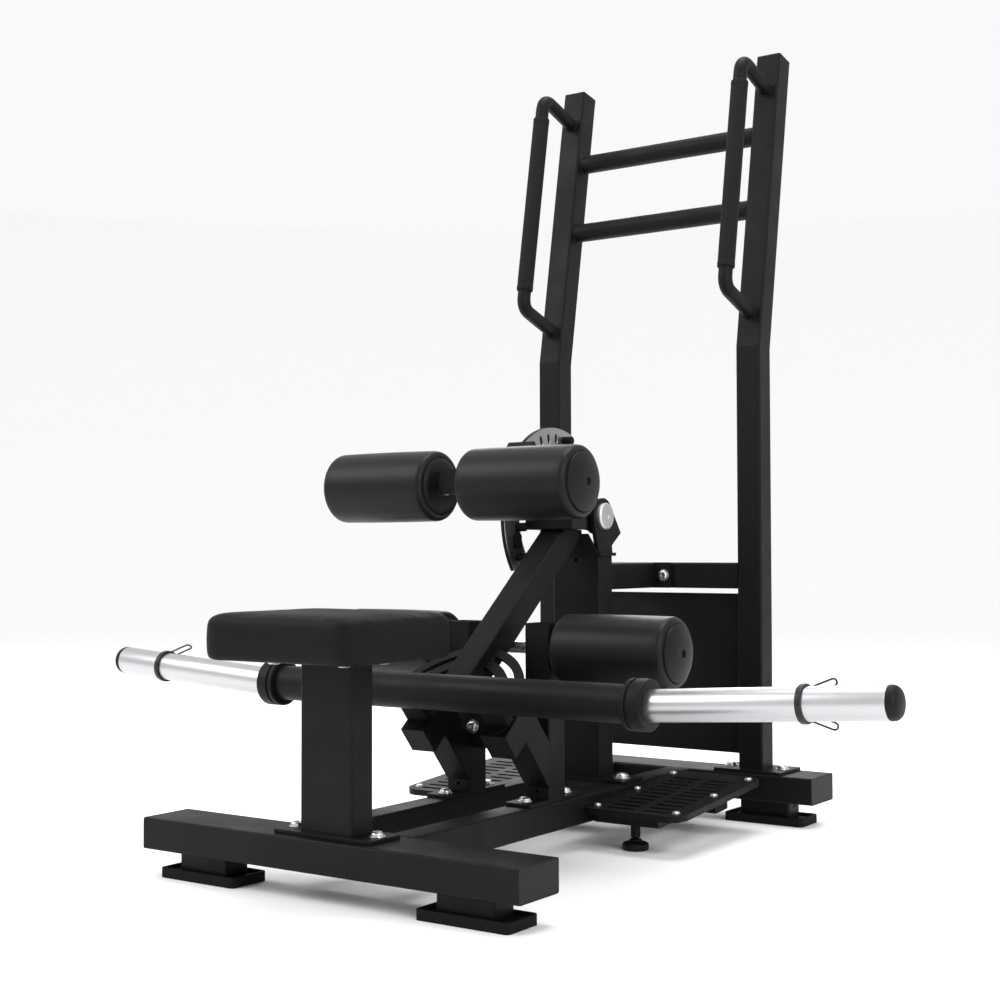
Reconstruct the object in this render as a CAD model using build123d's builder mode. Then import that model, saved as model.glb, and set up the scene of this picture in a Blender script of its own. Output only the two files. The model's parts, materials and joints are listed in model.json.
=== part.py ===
from build123d import *
from math import cos, radians, sin, sqrt, tan
import os

# Hip thrust machine.  Millimetres, +Z up, floor at z = 0, mirror plane at x = 0.
# The user sits at the -Y end; the tall uprights stand at the +Y end.

# ---------------------------------------------------------------- driving dimensions
# Steel sections
wall = 3.0                 # wall of every box tube
corner = 4.0               # outer corner radius of every box tube
tube = 50.0                # square tube side
beam_w = 100.0             # wide beams and posts are 100 x 50
flange_t = 6.0             # welded flanges and base plates
fit_gap = 0.3              # clearance between parts that move past each other
run_gap = 0.05             # radial running clearance on axles

# Base
base_half = 360.0          # half length of both cross beams
base_under = 44.0          # underside of the base tubes above the floor
front_beam_y = -475.0
rear_beam_y = 495.0
rail_x = 82.0
foot_x = 253.0
foot_block_w = 100.0
foot_block_h = 34.0
tray_x = 255.0
tray_w, tray_d, tray_h = 160.0, 76.0, 16.0
tray_rim, tray_pocket, tray_r = 5.0, 6.0, 8.0
foot_block_hole = 6.0
plug_len = 18.0

# Seat
seat_post_y = -475.0
seat_top_plate_under = 357.0
seat_plate_w, seat_plate_d = 170.0, 130.0
seat_flange_w, seat_flange_d = 190.0, 70.0
seat_y = -493.0
seat_w, seat_d, seat_t = 304.0, 254.0, 71.0
seat_board_inset, seat_board_t = 12.0, 12.0
seat_corner_r = 34.0
seat_top_roll, seat_foot_roll = 16.0, 8.0
seat_bolt_dx, seat_bolt_dy = 136.0, 90.0

# Uprights and the hand rails on them
upright_x = 227.0
upright_face_y = 466.0
lean_z = 910.0
lean_deg = 10.07
lean_len = 600.0
upright_flange_w, upright_flange_d = 140.0, 95.0
upright_bolt_dx = 107.0
rung_r = 19.0
rung_z = (1190.5, 1342.6)
rail_r = 13.5
rail_wall = 2.5
rail_top_z, rail_bottom_z = 1464.0, 1012.0
rail_top_y, rail_bottom_y = 449.0, 369.0
rail_root_rise, rail_root_drop = 39.0, 44.0
rail_bend_top, rail_bend_bottom = 35.0, 30.0
rail_root_in_top, rail_root_in_bottom = 110.0, 35.0   # how far the roots run in before trimming
grip_r = 16.75
grip_low_z, grip_high_z = 1048.0, 1417.0
panel_low_z, panel_high_z, panel_t = 125.0, 433.0, 3.0
link_z = 468.0             # centre height of the rear cross beam and link tube
link_flange_w = 120.0
link_bolt_dx = 90.0

# Main post and pivot
post_y = 228.0
post_top_z = 507.0
post_base_d = 75.0
post_cap_w, post_cap_d = 114.0, 58.0
pivot_y, pivot_z = 220.0, 580.0
axle_r = 12.5
axle_cap_r, axle_cap_len = 25.0, 10.0
ear_in, ear_t, ear_r = 42.0, 8.0, 34.0
ear_tip_y, ear_tip_z = 284.0, 550.0
gusset_low_w, gusset_deg, gusset_h, gusset_t = 100.0, 58.0, 35.0, 8.0

# Support posts, lower rollers and the stops of the weight arm
support_x = 82.0
support_y = -30.0
support_top_z = 394.0
support_flange_d = 170.0
support_bolt_dy = 124.0
lower_roller_z = 351.0
stop_y, stop_z = -187.0, 216.6      # front lower corner of the stop block's sloping face
stop_deg = 40.3
stop_len, brace_from = 88.0, 38.0
puck_r, puck_v, puck_proud, puck_sunk = 18.0, 23.0, 3.0, 5.0
saddle_v0, saddle_v1, saddle_w = 22.0, 40.0, 44.0
tie_low_z, tie_high_z, tie_t = 177.0, 249.0, 8.0
tie_bolt_x = 49.0

# Foot plates: they slope up towards the rear and hang on tubes beside the rails
foot_plate_x0, foot_plate_x1 = 108.0, 293.0
foot_plate_y0, foot_plate_y1 = 56.0, 385.0
foot_plate_z0 = 71.8
foot_plate_deg = 4.64
foot_plate_t, foot_plate_lip = 4.0, 11.0
foot_plate_r = 30.0
tread_cols = ((136.0, 193.0), (207.0, 264.0))
tread_rows, tread_pitch, tread_w, tread_y0 = 11, 24.6, 10.0, 78.0
screw_x, screw_y = (118.5, 272.5), (81.0, 221.0, 360.0)
bracket_x1 = 234.0
front_bracket_y, front_bracket_h = 111.3, 28.0
rear_bracket_y, rear_bracket_h = 324.0, 50.0
level_x, level_y = 181.0, 104.0
level_pad_r, level_pad_h = 23.0, 17.0
level_stud_r, level_stud_top = 6.0, 58.0
level_nut_r, level_nut_z = 9.5, 22.0

# Weight arm
bar_y, bar_z = -204.0, 285.0
bar_r, bar_half, bar_wall = 30.0, 350.0, 4.0
arm_deg = 39.6
cross_w, cross_y0, cross_z0 = 100.0, 110.0, 555.0
arm_back_y = 184.0
ring_r, ring_t = 32.0, 6.5
link_in, link_t = 27.0, 8.0
fan_r, fan_t, fan_drop = 130.0, 6.0, 22.0
fan_slots = ((103.0, 114.0), (70.0, 85.0))
fan_slot_from, fan_slot_to = 17.0, 76.0
collar_r, collar_len = 40.0, 34.0
collar_groove, collar_groove_w, collar_groove_x = 3.0, 5.0, 15.3
sleeve_r, sleeve_wall, sleeve_x1 = 25.0, 3.0, 755.0
sleeve_deg, sleeve_drop = 3.77, 0.5
end_cap_len, end_cap_round, end_cap_plug = 17.0, 12.0, 14.0
clip_ring_r, clip_ring_len, clip_wire_r = 29.0, 9.0, 1.5
clip_root_r, clip_tip_r, clip_root_x, clip_tip_x, clip_loop_w = 27.3, 47.0, 2.0, 34.0, 13.0
clip_left_degs, clip_right_degs = (58.0, -30.0), (38.0, -50.0)   # wire loops, up from the back (+Y)
clip_gap = 0.35
clip_right_x, clip_left_x = 630.0, 650.0

# Sector plate and index pin
sector_x0, sector_t, index_plate_t = -64.0, 6.0, 2.0
sector_out_r, sector_in_r = 170.0, 120.0
sector_low_deg, sector_high_deg = -36.0, 112.0
slot_first_deg, slot_pitch_deg, slot_count = 42.0, 10.0, 6
slot_r, slot_half_w, slot_half_len = 149.0, 5.0, 4.5
lug_low_z, lug_high_z = 577.0, 603.0
stop_pin_r, stop_pin_len = 8.0, 18.0
stop_pins = ((103.0, 150.0), (-9.0, 129.0))
stop_pad_deg, stop_pad_r = -18.5, 142.0
pin_r, pin_travel = 4.5, 14.0
knob_r, knob_len = 20.0, 19.0
carrier_half_w, carrier_t = 16.0, 8.0

# Pad arm and upper rollers
pad_tube = 40.0
pad_tube_z = 631.0
pad_tube_y0, pad_tube_y1 = -196.0, 240.0
pad_block_len = 50.0
hub_r, hub_half = 24.0, 26.0
pad_ear_t, pad_ear_y0 = 6.0, 190.0
upper_roller_y, upper_roller_z = -171.0, 625.5
rest_pad_d = 34.0

# Rollers
roller_r, roller_len, roller_edge = 60.0, 212.0, 8.0
upper_roller_x0, lower_roller_x0 = 33.0, 124.0
roller_bore = 28.0
roller_axle_r = 10.0
cap_r, cap_sunk, cap_dome, cap_flat = 50.0, 6.0, 12.0, 6.0
cap_sleeve_len, cap_hole_r = 30.0, 4.5
spacer_r = 16.0

# Fasteners
bolt_r, bolt_head_h, bolt_shank_r, bolt_washer_r, bolt_washer_t = 10.0, 6.5, 5.0, 12.5, 1.6
big_bolt_scale = 1.25
screw_head_r, screw_head_h, screw_shank_r, screw_nut_r, screw_nut_h = 6.5, 4.0, 3.0, 4.6, 5.0
hole_gap = 0.1

# ---------------------------------------------------------------- worked out from the above
base_top = base_under + tube
beam_mid_z = base_under + tube / 2
flange_top = base_top + flange_t
upright_mid_y = upright_face_y + tube / 2
rail_y0 = front_beam_y + beam_w / 2
rail_y1 = rear_beam_y - beam_w / 2
support_face_y = support_y - tube / 2
seat_board_z = seat_top_plate_under + flange_t
seat_pad_z = seat_board_z + seat_board_t
upright_back_low_z = lean_z - tube * tan(radians(lean_deg / 2))
lean_sin, lean_cos = sin(radians(lean_deg)), cos(radians(lean_deg))
upright_top_y = upright_face_y + lean_len * lean_sin
upright_top_z = lean_z + lean_len * lean_cos
arm_sin, arm_cos = sin(radians(arm_deg)), cos(radians(arm_deg))
sleeve_dir = (cos(radians(sleeve_deg)), 0, sin(radians(sleeve_deg)))
collar_x1 = bar_half + collar_len
plate_slope = tan(radians(foot_plate_deg))
pad_side = pad_tube / 2
sector_face = sector_x0 + sector_t
index_face = sector_face + index_plate_t

SIDES = (("left", -1), ("right", 1))


def save(piece, node):
    """Label a finished piece and write it under its node name."""
    piece.label = node
    export_step(piece, f"parts/{node}.step")


def along(x=None, y=None, z=None):
    """A drawing plane square to one axis, at that place: YZ, XZ or XY."""
    if x is not None:
        return Plane.YZ.offset(x)
    if y is not None:
        return Plane.XZ.offset(-y)
    return Plane.XY.offset(z)


def box_tube(plane, centre, w, h, length):
    """A rounded box tube: its section drawn on a plane, then run along the plane's normal."""
    with BuildSketch(plane) as section:
        with Locations(centre):
            RectangleRounded(w, h, corner)
            RectangleRounded(w - 2 * wall, h - 2 * wall, corner - wall + 0.5, mode=Mode.SUBTRACT)
    extrude(section.sketch, amount=length)


def flat_plate(z, centre, w, d, t, r=4.0):
    """A level plate with rounded corners that stands on height z."""
    with BuildSketch(along(z=z)) as outline:
        with Locations(centre):
            RectangleRounded(w, d, r)
    extrude(outline.sketch, amount=t)


def side_shape(points, x0, x1, mode=Mode.ADD):
    """A closed outline of (y, z) points, run from x0 to x1."""
    with BuildSketch(along(x=x0)) as outline:
        with BuildLine():
            Polyline(*points, close=True)
        make_face()
    extrude(outline.sketch, amount=x1 - x0, mode=mode)


def rod(x0, x1, y, z, r, mode=Mode.ADD):
    """A round bar along X."""
    with BuildSketch(along(x=x0)) as section:
        with Locations((y, z)):
            Circle(r)
    extrude(section.sketch, amount=x1 - x0, mode=mode)


def drop_holes(spots, r, z_top, depth):
    """Round holes straight down from z_top at (x, y) spots."""
    with BuildSketch(along(z=z_top)) as rounds:
        with Locations(*spots):
            Circle(r)
    extrude(rounds.sketch, amount=-depth, mode=Mode.SUBTRACT)


shank_depth = flange_t + wall + 3.0

# Places of the flange bolts, used for the bolts and for their holes
seat_bolts = [(s * seat_flange_w * 0.41, seat_post_y) for s in (-1, 1)]
support_bolts = [(s * support_x, support_y + k * support_bolt_dy / 2) for s in (-1, 1) for k in (-1, 1)]
post_bolts = [(s * rail_x, post_y) for s in (-1, 1)]
upright_bolts = [(s * upright_x + k * upright_bolt_dx / 2, rear_beam_y) for s in (-1, 1) for k in (-1, 1)]

os.makedirs("parts", exist_ok=True)

# ================================================================ base
# Two wide cross beams with two rails between them.
for node, y, bolts in (("front_base_beam", front_beam_y, seat_bolts),
                       ("rear_base_beam", rear_beam_y, upright_bolts)):
    with BuildPart() as beam:
        box_tube(along(x=-base_half), (y, beam_mid_z), beam_w, tube, 2 * base_half)
        drop_holes(bolts, bolt_shank_r + hole_gap, base_top, wall + 1)
    save(beam.part, node)

with BuildPart() as base_rails:
    for side, s in SIDES:
        box_tube(along(y=rail_y1), (s * rail_x, beam_mid_z), tube, tube, rail_y1 - rail_y0)
    drop_holes(support_bolts, bolt_shank_r + hole_gap, base_top, wall + 1)
    drop_holes(post_bolts, bolt_shank_r * big_bolt_scale + hole_gap, base_top, wall + 1)
save(base_rails.part, "base_rails")

# Feet: a short tube block under each beam end, standing in a rubber tray.
with BuildPart() as foot_blocks:
    for sx in (-1, 1):
        for y in (front_beam_y, rear_beam_y):
            with BuildSketch(along(z=tray_h - tray_pocket)):
                with Locations((sx * foot_x, y)):
                    RectangleRounded(foot_block_w, tube, corner)
                    RectangleRounded(foot_block_w - 2 * wall, tube - 2 * wall, 1.5, mode=Mode.SUBTRACT)
            extrude(amount=foot_block_h)
    for sx in (-1, 1):
        for y in (front_beam_y, rear_beam_y):
            outer_x = sx * (foot_x + foot_block_w / 2)
            rod(outer_x - wall - 1, outer_x + wall + 1, y, base_under - foot_block_h / 3,
                foot_block_hole / 2, mode=Mode.SUBTRACT)
save(foot_blocks.part, "foot_blocks")

with BuildPart() as foot_trays:
    for sx in (-1, 1):
        for y in (front_beam_y, rear_beam_y):
            flat_plate(0, (sx * tray_x, y), tray_w, tray_d, tray_h, tray_r)
            with BuildSketch(along(z=tray_h)):
                with Locations((sx * tray_x, y)):
                    RectangleRounded(tray_w - 2 * tray_rim, tray_d - 2 * tray_rim, 5.0)
            extrude(amount=-tray_pocket, mode=Mode.SUBTRACT)
    fillet(foot_trays.edges().group_by(Axis.Z)[-1], 1.5)
save(foot_trays.part, "foot_trays")

# ================================================================ seat
with BuildPart() as seat_post:
    flat_plate(base_top, (0, seat_post_y), seat_flange_w, seat_flange_d, flange_t)
    box_tube(along(z=flange_top), (0, seat_post_y), beam_w, tube, seat_top_plate_under - flange_top)
    flat_plate(seat_top_plate_under, (0, seat_y), seat_plate_w, seat_plate_d, flange_t)
    drop_holes(seat_bolts, bolt_shank_r + hole_gap, flange_top, flange_t)
    seat_bolt_spots = [(sx * seat_bolt_dx / 2, seat_y + sy * seat_bolt_dy / 2)
                       for sx in (-1, 1) for sy in (-1, 1)]
    drop_holes(seat_bolt_spots, bolt_shank_r + hole_gap, seat_board_z, flange_t)
    # vent hole that also keeps the tube open to the air
    drop_holes([(0, seat_post_y)], bolt_r, seat_board_z, flange_t + 2)
save(seat_post.part, "seat_post")

with BuildPart() as seat_board:
    flat_plate(seat_board_z, (0, seat_y), seat_w - 2 * seat_board_inset, seat_d - 2 * seat_board_inset,
               seat_board_t, seat_corner_r - seat_board_inset)
    drop_holes(seat_bolt_spots, bolt_shank_r + hole_gap, seat_pad_z, seat_board_t)
save(seat_board.part, "seat_board")

# The pad's lower edge reaches down round the board and the top plate.
with BuildPart() as seat_pad:
    flat_plate(seat_top_plate_under, (0, seat_y), seat_w, seat_d, seat_t, seat_corner_r)
    fillet(seat_pad.edges().group_by(Axis.Z)[-1], seat_top_roll)
    fillet(seat_pad.edges().group_by(Axis.Z)[0], seat_foot_roll)
    with BuildSketch(along(z=seat_top_plate_under)):
        with Locations((0, seat_y)):
            RectangleRounded(seat_w - 2 * seat_board_inset, seat_d - 2 * seat_board_inset,
                             seat_corner_r - seat_board_inset)
    extrude(amount=seat_pad_z - seat_top_plate_under, mode=Mode.SUBTRACT)
save(seat_pad.part, "seat_pad")

# ================================================================ uprights
# Outline of an upright in side view; inset moves its front and back faces inwards.


def upright_outline(inset=0.0, extra=0.0):
    """Side outline of an upright, from the flange to the square cut top."""
    face = upright_face_y + inset
    depth = tube - 2 * inset
    bend_front = lean_z - inset * tan(radians(lean_deg / 2))
    bend_back = bend_front - depth * tan(radians(lean_deg / 2))
    top_y = upright_top_y + inset * lean_cos + extra * lean_sin
    top_z = upright_top_z - inset * lean_sin + extra * lean_cos
    return [(face, flange_top - extra), (face + depth, flange_top - extra), (face + depth, bend_back),
            (top_y + depth * lean_cos, top_z - depth * lean_sin), (top_y, top_z), (face, bend_front)]


for side, s in SIDES:
    with BuildPart() as upright:
        side_shape(upright_outline(), s * upright_x - tube / 2, s * upright_x + tube / 2)
        fillet([e for e in upright.edges() if e.length > tube * 2 and abs(e.tangent_at(0.5).X) < 0.01], corner)
        side_shape(upright_outline(wall, 1.0), s * upright_x - tube / 2 + wall,
                   s * upright_x + tube / 2 - wall, mode=Mode.SUBTRACT)
        flat_plate(base_top, (s * upright_x, rear_beam_y), upright_flange_w, upright_flange_d, flange_t)
        drop_holes([p for p in upright_bolts if p[0] * s > 0], bolt_shank_r + hole_gap, flange_top, flange_t)
    save(upright.part, f"{side}_upright")

with BuildPart() as rungs:
    for z in rung_z:
        y = upright_face_y + (z - lean_z) * tan(radians(lean_deg)) + tube / 2 / lean_cos
        rod(-upright_x + tube / 2, upright_x - tube / 2, y, z, rung_r)
        rod(-upright_x + tube / 2, upright_x - tube / 2, y, z, rung_r - wall, mode=Mode.SUBTRACT)
save(rungs.part, "rungs")

with BuildPart() as back_panel:
    with BuildSketch(along(y=upright_mid_y + panel_t / 2)):
        with Locations((0, (panel_low_z + panel_high_z) / 2)):
            Rectangle(2 * upright_x - tube, panel_high_z - panel_low_z)
    extrude(amount=panel_t)
save(back_panel.part, "back_panel")

with BuildPart() as rear_cross_beam:
    box_tube(along(x=-upright_x + tube / 2), (upright_mid_y, link_z), tube, tube, 2 * upright_x - tube)
    with BuildSketch(along(y=upright_face_y)):
        with Locations(*[(s * link_bolt_dx / 2, link_z) for s in (-1, 1)]):
            Circle(bolt_shank_r + hole_gap)
    extrude(amount=-wall - 1, mode=Mode.SUBTRACT)
save(rear_cross_beam.part, "rear_cross_beam")

# Hand rails: bent tubes that leave the leaning part of each upright and come back lower down.
grip_dir = Vector(0, rail_top_y - rail_bottom_y, rail_top_z - rail_bottom_z).normalized()


def rail_point(z):
    """Point (y, z) on the straight run of the hand rail."""
    share = (z - rail_bottom_z) / (rail_top_z - rail_bottom_z)
    return rail_bottom_y + share * (rail_top_y - rail_bottom_y), z


for side, s in SIDES:
    with BuildPart() as handle:
        with BuildLine(along(x=s * upright_x)) as route:
            FilletPolyline((upright_face_y + rail_root_in_top, rail_top_z - rail_root_rise),
                           (rail_top_y, rail_top_z), (rail_bottom_y, rail_bottom_z),
                           (upright_face_y + rail_root_in_bottom, rail_bottom_z - rail_root_drop),
                           radius=[rail_bend_top, rail_bend_bottom])
        with BuildSketch(Plane(route.line @ 0, z_dir=route.line % 0)):
            Circle(rail_r)
            Circle(rail_r - rail_wall, mode=Mode.SUBTRACT)
        sweep()
        side_shape(upright_outline(), s * upright_x - tube / 2, s * upright_x + tube / 2, mode=Mode.SUBTRACT)
    save(handle.part.solids().sort_by(Axis.Y)[0], f"{side}_handle")

with BuildPart() as handle_grips:
    for side, s in SIDES:
        low_y, low_z = rail_point(grip_low_z)
        with BuildSketch(Plane((s * upright_x, low_y, low_z), z_dir=grip_dir)):
            Circle(grip_r)
            Circle(rail_r + run_gap, mode=Mode.SUBTRACT)
        extrude(amount=(grip_high_z - grip_low_z) / grip_dir.Z)
    fillet(handle_grips.edges().filter_by(GeomType.CIRCLE).sort_by(SortBy.RADIUS)[-4:], 1.5)
save(handle_grips.part, "handle_grips")

# ================================================================ main post and pivot
with BuildPart() as main_post:
    flat_plate(base_top, (0, post_y), 2 * rail_x + tube, post_base_d, flange_t)
    box_tube(along(z=flange_top), (0, post_y), beam_w, tube, post_top_z - flange_top)
    flat_plate(post_top_z, (0, post_y), post_cap_w, post_cap_d, flange_t)
    drop_holes(post_bolts, bolt_shank_r * big_bolt_scale + hole_gap, flange_top, flange_t)
    drop_holes([(0, post_y)], bolt_r, post_top_z + flange_t, flange_t + 2)
    with BuildSketch(along(y=post_y - tube / 2)):
        with Locations((0, post_top_z - 8)):
            Circle(3.5)
    extrude(amount=-wall - 1, mode=Mode.SUBTRACT)
save(main_post.part, "main_post")

bracket_z0 = post_top_z + flange_t


def ear(x0):
    """A pivot ear: round head about the axle, a pointed corner behind, foot on the base plate."""
    with BuildSketch(along(x=x0)) as outline:
        with Locations((pivot_y, pivot_z)):
            Circle(ear_r)
        with BuildLine():
            Polyline((post_y - tube / 2, bracket_z0), (post_y + tube / 2, bracket_z0),
                     (post_y + tube / 2 - 2, bracket_z0 + 13.5), (ear_tip_y, ear_tip_z),
                     (pivot_y + ear_r * cos(radians(24)), pivot_z + ear_r * sin(radians(24))),
                     (pivot_y, pivot_z), (pivot_y - ear_r * cos(radians(20)), pivot_z - ear_r * sin(radians(20))),
                     close=True)
        make_face()
        with Locations((pivot_y, pivot_z)):
            Circle(axle_r, mode=Mode.SUBTRACT)
    extrude(outline.sketch, amount=ear_t)


with BuildPart() as pivot_bracket:
    flat_plate(bracket_z0, (0, post_y), beam_w, tube, flange_t, 1.0)
    ear(ear_in)
    ear(-ear_in - ear_t)
    with BuildSketch(along(y=post_y - tube / 2)):
        with Locations((0, bracket_z0)):
            Trapezoid(gusset_low_w, gusset_h, gusset_deg, align=(Align.CENTER, Align.MIN))
    extrude(amount=gusset_t)
save(pivot_bracket.part, "pivot_bracket")

with BuildPart() as main_axle:
    bearing_half = ear_in + ear_t
    rod(-bearing_half, bearing_half, pivot_y, pivot_z, axle_r)
    rod(-bearing_half - axle_cap_len, -bearing_half, pivot_y, pivot_z, axle_cap_r)
    rod(bearing_half, bearing_half + axle_cap_len, pivot_y, pivot_z, axle_cap_r)
    fillet([e for e in main_axle.edges().filter_by(GeomType.CIRCLE)
            if abs(e.center().X) > bearing_half + 1], axle_cap_len - 2.5)
save(main_axle.part, "main_axle")

with BuildPart() as post_link_tube:
    box_tube(along(y=upright_face_y - flange_t), (0, link_z), tube, tube,
             upright_face_y - flange_t - post_y - tube / 2)
    with BuildSketch(along(y=upright_face_y)):
        with Locations((0, link_z)):
            RectangleRounded(link_flange_w, tube, 4)
        with Locations(*[(s * link_bolt_dx / 2, link_z) for s in (-1, 1)]):
            Circle(bolt_shank_r + hole_gap, mode=Mode.SUBTRACT)
    extrude(amount=flange_t)
save(post_link_tube.part, "post_link_tube")

# ================================================================ support posts
# The stop block's own frame: v runs up its sloping face, n stands off that face.
stop_v = (cos(radians(stop_deg)), sin(radians(stop_deg)))


def stop_point(v, n):
    """(y, z) of a point at v along the stop face and n above it."""
    return stop_y + v * stop_v[0] - n * stop_v[1], stop_z + v * stop_v[1] + n * stop_v[0]


def brace_meets_post(v):
    """(y, z) where the brace line at v reaches the front of the support post."""
    y, z = stop_point(v, 0)
    run = (support_face_y - y) / stop_v[1]
    return support_face_y, z - run * stop_v[0]


for side, s in SIDES:
    x_in = s * support_x - tube / 2
    with BuildPart() as support_post:
        flat_plate(base_top, (s * support_x, support_y), tube, support_flange_d, flange_t)
        box_tube(along(z=flange_top), (s * support_x, support_y), tube, tube, support_top_z - flange_top)
        side_shape([stop_point(0, 0), stop_point(stop_len, 0), stop_point(stop_len, -tube),
                    brace_meets_post(stop_len), brace_meets_post(brace_from),
                    stop_point(brace_from, -tube), stop_point(0, -tube)], x_in, x_in + tube)
        block_edges = [e for e in support_post.edges().filter_by(Axis.X, reverse=True)
                       if e.center().Y < support_face_y - 1 and 110 < e.center().Z
                       and abs(e.tangent_at(0.5).X) < 0.01 and e.length > 30]
        fillet(block_edges, 2.0)
        rod(x_in - 1, x_in + tube + 1, support_y, lower_roller_z, roller_axle_r, mode=Mode.SUBTRACT)
        puck_y, puck_z = stop_point(puck_v, 0)
        with BuildSketch(Plane((s * support_x, puck_y, puck_z), x_dir=(1, 0, 0),
                               z_dir=(0, -stop_v[1], stop_v[0]))):
            Circle(puck_r)
        extrude(amount=-puck_sunk, mode=Mode.SUBTRACT)
        drop_holes([p for p in support_bolts if p[0] * s > 0], bolt_shank_r + hole_gap, flange_top, flange_t)
        with BuildSketch(along(y=support_face_y)):
            with Locations((s * support_x, flange_top + 12)):
                Circle(3.0)
        extrude(amount=-wall - 1, mode=Mode.SUBTRACT)
    save(support_post.part, f"{side}_support_post")

with BuildPart() as post_tie:
    tie_half = support_x - tube / 2
    with BuildSketch(along(y=support_face_y + tie_t - 2)):
        with Locations((0, (tie_low_z + tie_high_z) / 2)):
            Rectangle(2 * tie_half, tie_high_z - tie_low_z)
        with Locations(*[(s * tie_bolt_x, (tie_low_z + tie_high_z) / 2) for s in (-1, 1)]):
            Circle(bolt_shank_r + hole_gap, mode=Mode.SUBTRACT)
    extrude(amount=tie_t)
save(post_tie.part, "post_tie")

# Rubber bumpers: a puck sunk in the stop block with a saddle on it that cradles the crossbar.
with BuildPart() as rest_bumpers:
    for side, s in SIDES:
        y, z = stop_point(puck_v, -puck_sunk)
        with BuildSketch(Plane((s * support_x, y, z), x_dir=(1, 0, 0), z_dir=(0, -stop_v[1], stop_v[0]))):
            Circle(puck_r - run_gap)
        extrude(amount=puck_sunk + puck_proud)
        lift = bar_r + 6
        side_shape([stop_point(saddle_v0, puck_proud - 0.5), stop_point(saddle_v1, puck_proud - 0.5),
                    stop_point(saddle_v1, lift), stop_point(saddle_v0, lift)],
                   s * support_x - saddle_w / 2, s * support_x + saddle_w / 2)
    rod(-bar_half, bar_half, bar_y, bar_z, bar_r + fit_gap, mode=Mode.SUBTRACT)
save(rest_bumpers.part, "rest_bumpers")


def roller_axle(y, z, end_x, seat_x, spacer_x):
    """A roller axle along X: bar to end_x with spacer rings from seat_x to spacer_x on both sides."""
    rod(-end_x, end_x, y, z, roller_axle_r)
    rod(-spacer_x, -seat_x, y, z, spacer_r)
    rod(seat_x, spacer_x, y, z, spacer_r)


cap_reach = cap_dome - cap_flat            # how far the trimmed inner cap stands out
axle_short = 6.0                           # the axle ends this far inside the outer cap's apex
with BuildPart() as lower_roller_axle:
    roller_axle(support_y, lower_roller_z, lower_roller_x0 + roller_len + cap_dome - axle_short,
                support_x + tube / 2, lower_roller_x0 - cap_reach - 0.5)
save(lower_roller_axle.part, "lower_roller_axle")

# ================================================================ foot plates
plate_cos = cos(radians(foot_plate_deg))
plate_run = (foot_plate_y1 - foot_plate_y0) / plate_cos


def on_plate(y):
    """Height of the foot plate's upper face at y."""
    return foot_plate_z0 + (y - foot_plate_y0) * plate_slope


def plate_plane(y, drop=0.0):
    """Plane on the foot plate's slope at y, drop below its upper face; its x runs across."""
    return Plane((0, y, on_plate(y)), x_dir=(1, 0, 0),
                 z_dir=(0, -sin(radians(foot_plate_deg)), plate_cos)).offset(-drop)


def plate_outline(s, inset):
    """Outline of a foot plate on its slope: square inside, rounded at the two outer corners."""
    x0, x1 = foot_plate_x0, foot_plate_x1 - inset
    with Locations((s * (x0 + x1) / 2, plate_run / 2)):
        Rectangle(x1 - x0, plate_run - 2 * inset)


for side, s in SIDES:
    with BuildPart() as foot_plate:
        with BuildSketch(plate_plane(foot_plate_y0)) as outline:
            plate_outline(s, 0)
            fillet([v for v in outline.vertices() if abs(v.X) > foot_plate_x1 - 1], foot_plate_r)
        extrude(amount=-foot_plate_lip)
        with BuildSketch(plate_plane(foot_plate_y0, foot_plate_t)) as recess:
            plate_outline(s, foot_plate_t)
            fillet([v for v in recess.vertices() if abs(v.X) > foot_plate_x1 - foot_plate_t - 1],
                   foot_plate_r - foot_plate_t)
        extrude(amount=-foot_plate_lip, mode=Mode.SUBTRACT)
        with BuildSketch(plate_plane(foot_plate_y0)):
            for x0, x1 in tread_cols:
                rows = [(s * (x0 + x1) / 2, (tread_y0 - foot_plate_y0 + k * tread_pitch) / plate_cos)
                        for k in range(tread_rows)]
                with Locations(*rows):
                    SlotOverall(x1 - x0, tread_w)
            with Locations(*[(s * x, (y - foot_plate_y0) / plate_cos) for x in screw_x for y in screw_y]):
                Circle(screw_shank_r + hole_gap)
        extrude(amount=-foot_plate_t - 1, mode=Mode.SUBTRACT)
    save(foot_plate.part, f"{side}_foot_plate")

with BuildPart() as foot_plate_brackets:
    for s in (-1, 1):
        for y, h in ((front_bracket_y, front_bracket_h), (rear_bracket_y, rear_bracket_h)):
            face_x = rail_x + tube / 2
            end = Plane((s * face_x, y, on_plate(y)), x_dir=(0, plate_cos, sin(radians(foot_plate_deg))),
                        z_dir=(1, 0, 0))
            box_tube(end, (0, -foot_plate_t - h / 2), tube, h, s * (bracket_x1 - face_x))
    for s in (-1, 1):
        with BuildSketch(along(z=level_nut_z)):
            with Locations((s * level_x, level_y)):
                RegularPolygon(level_nut_r, 6)
        extrude(amount=base_under - level_nut_z + 1.5)
    drop_holes([(s * level_x, level_y) for s in (-1, 1)], level_stud_r + run_gap, base_under + wall + 4,
               base_under - level_nut_z + wall + 8)
save(foot_plate_brackets.part, "foot_plate_brackets")

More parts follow.
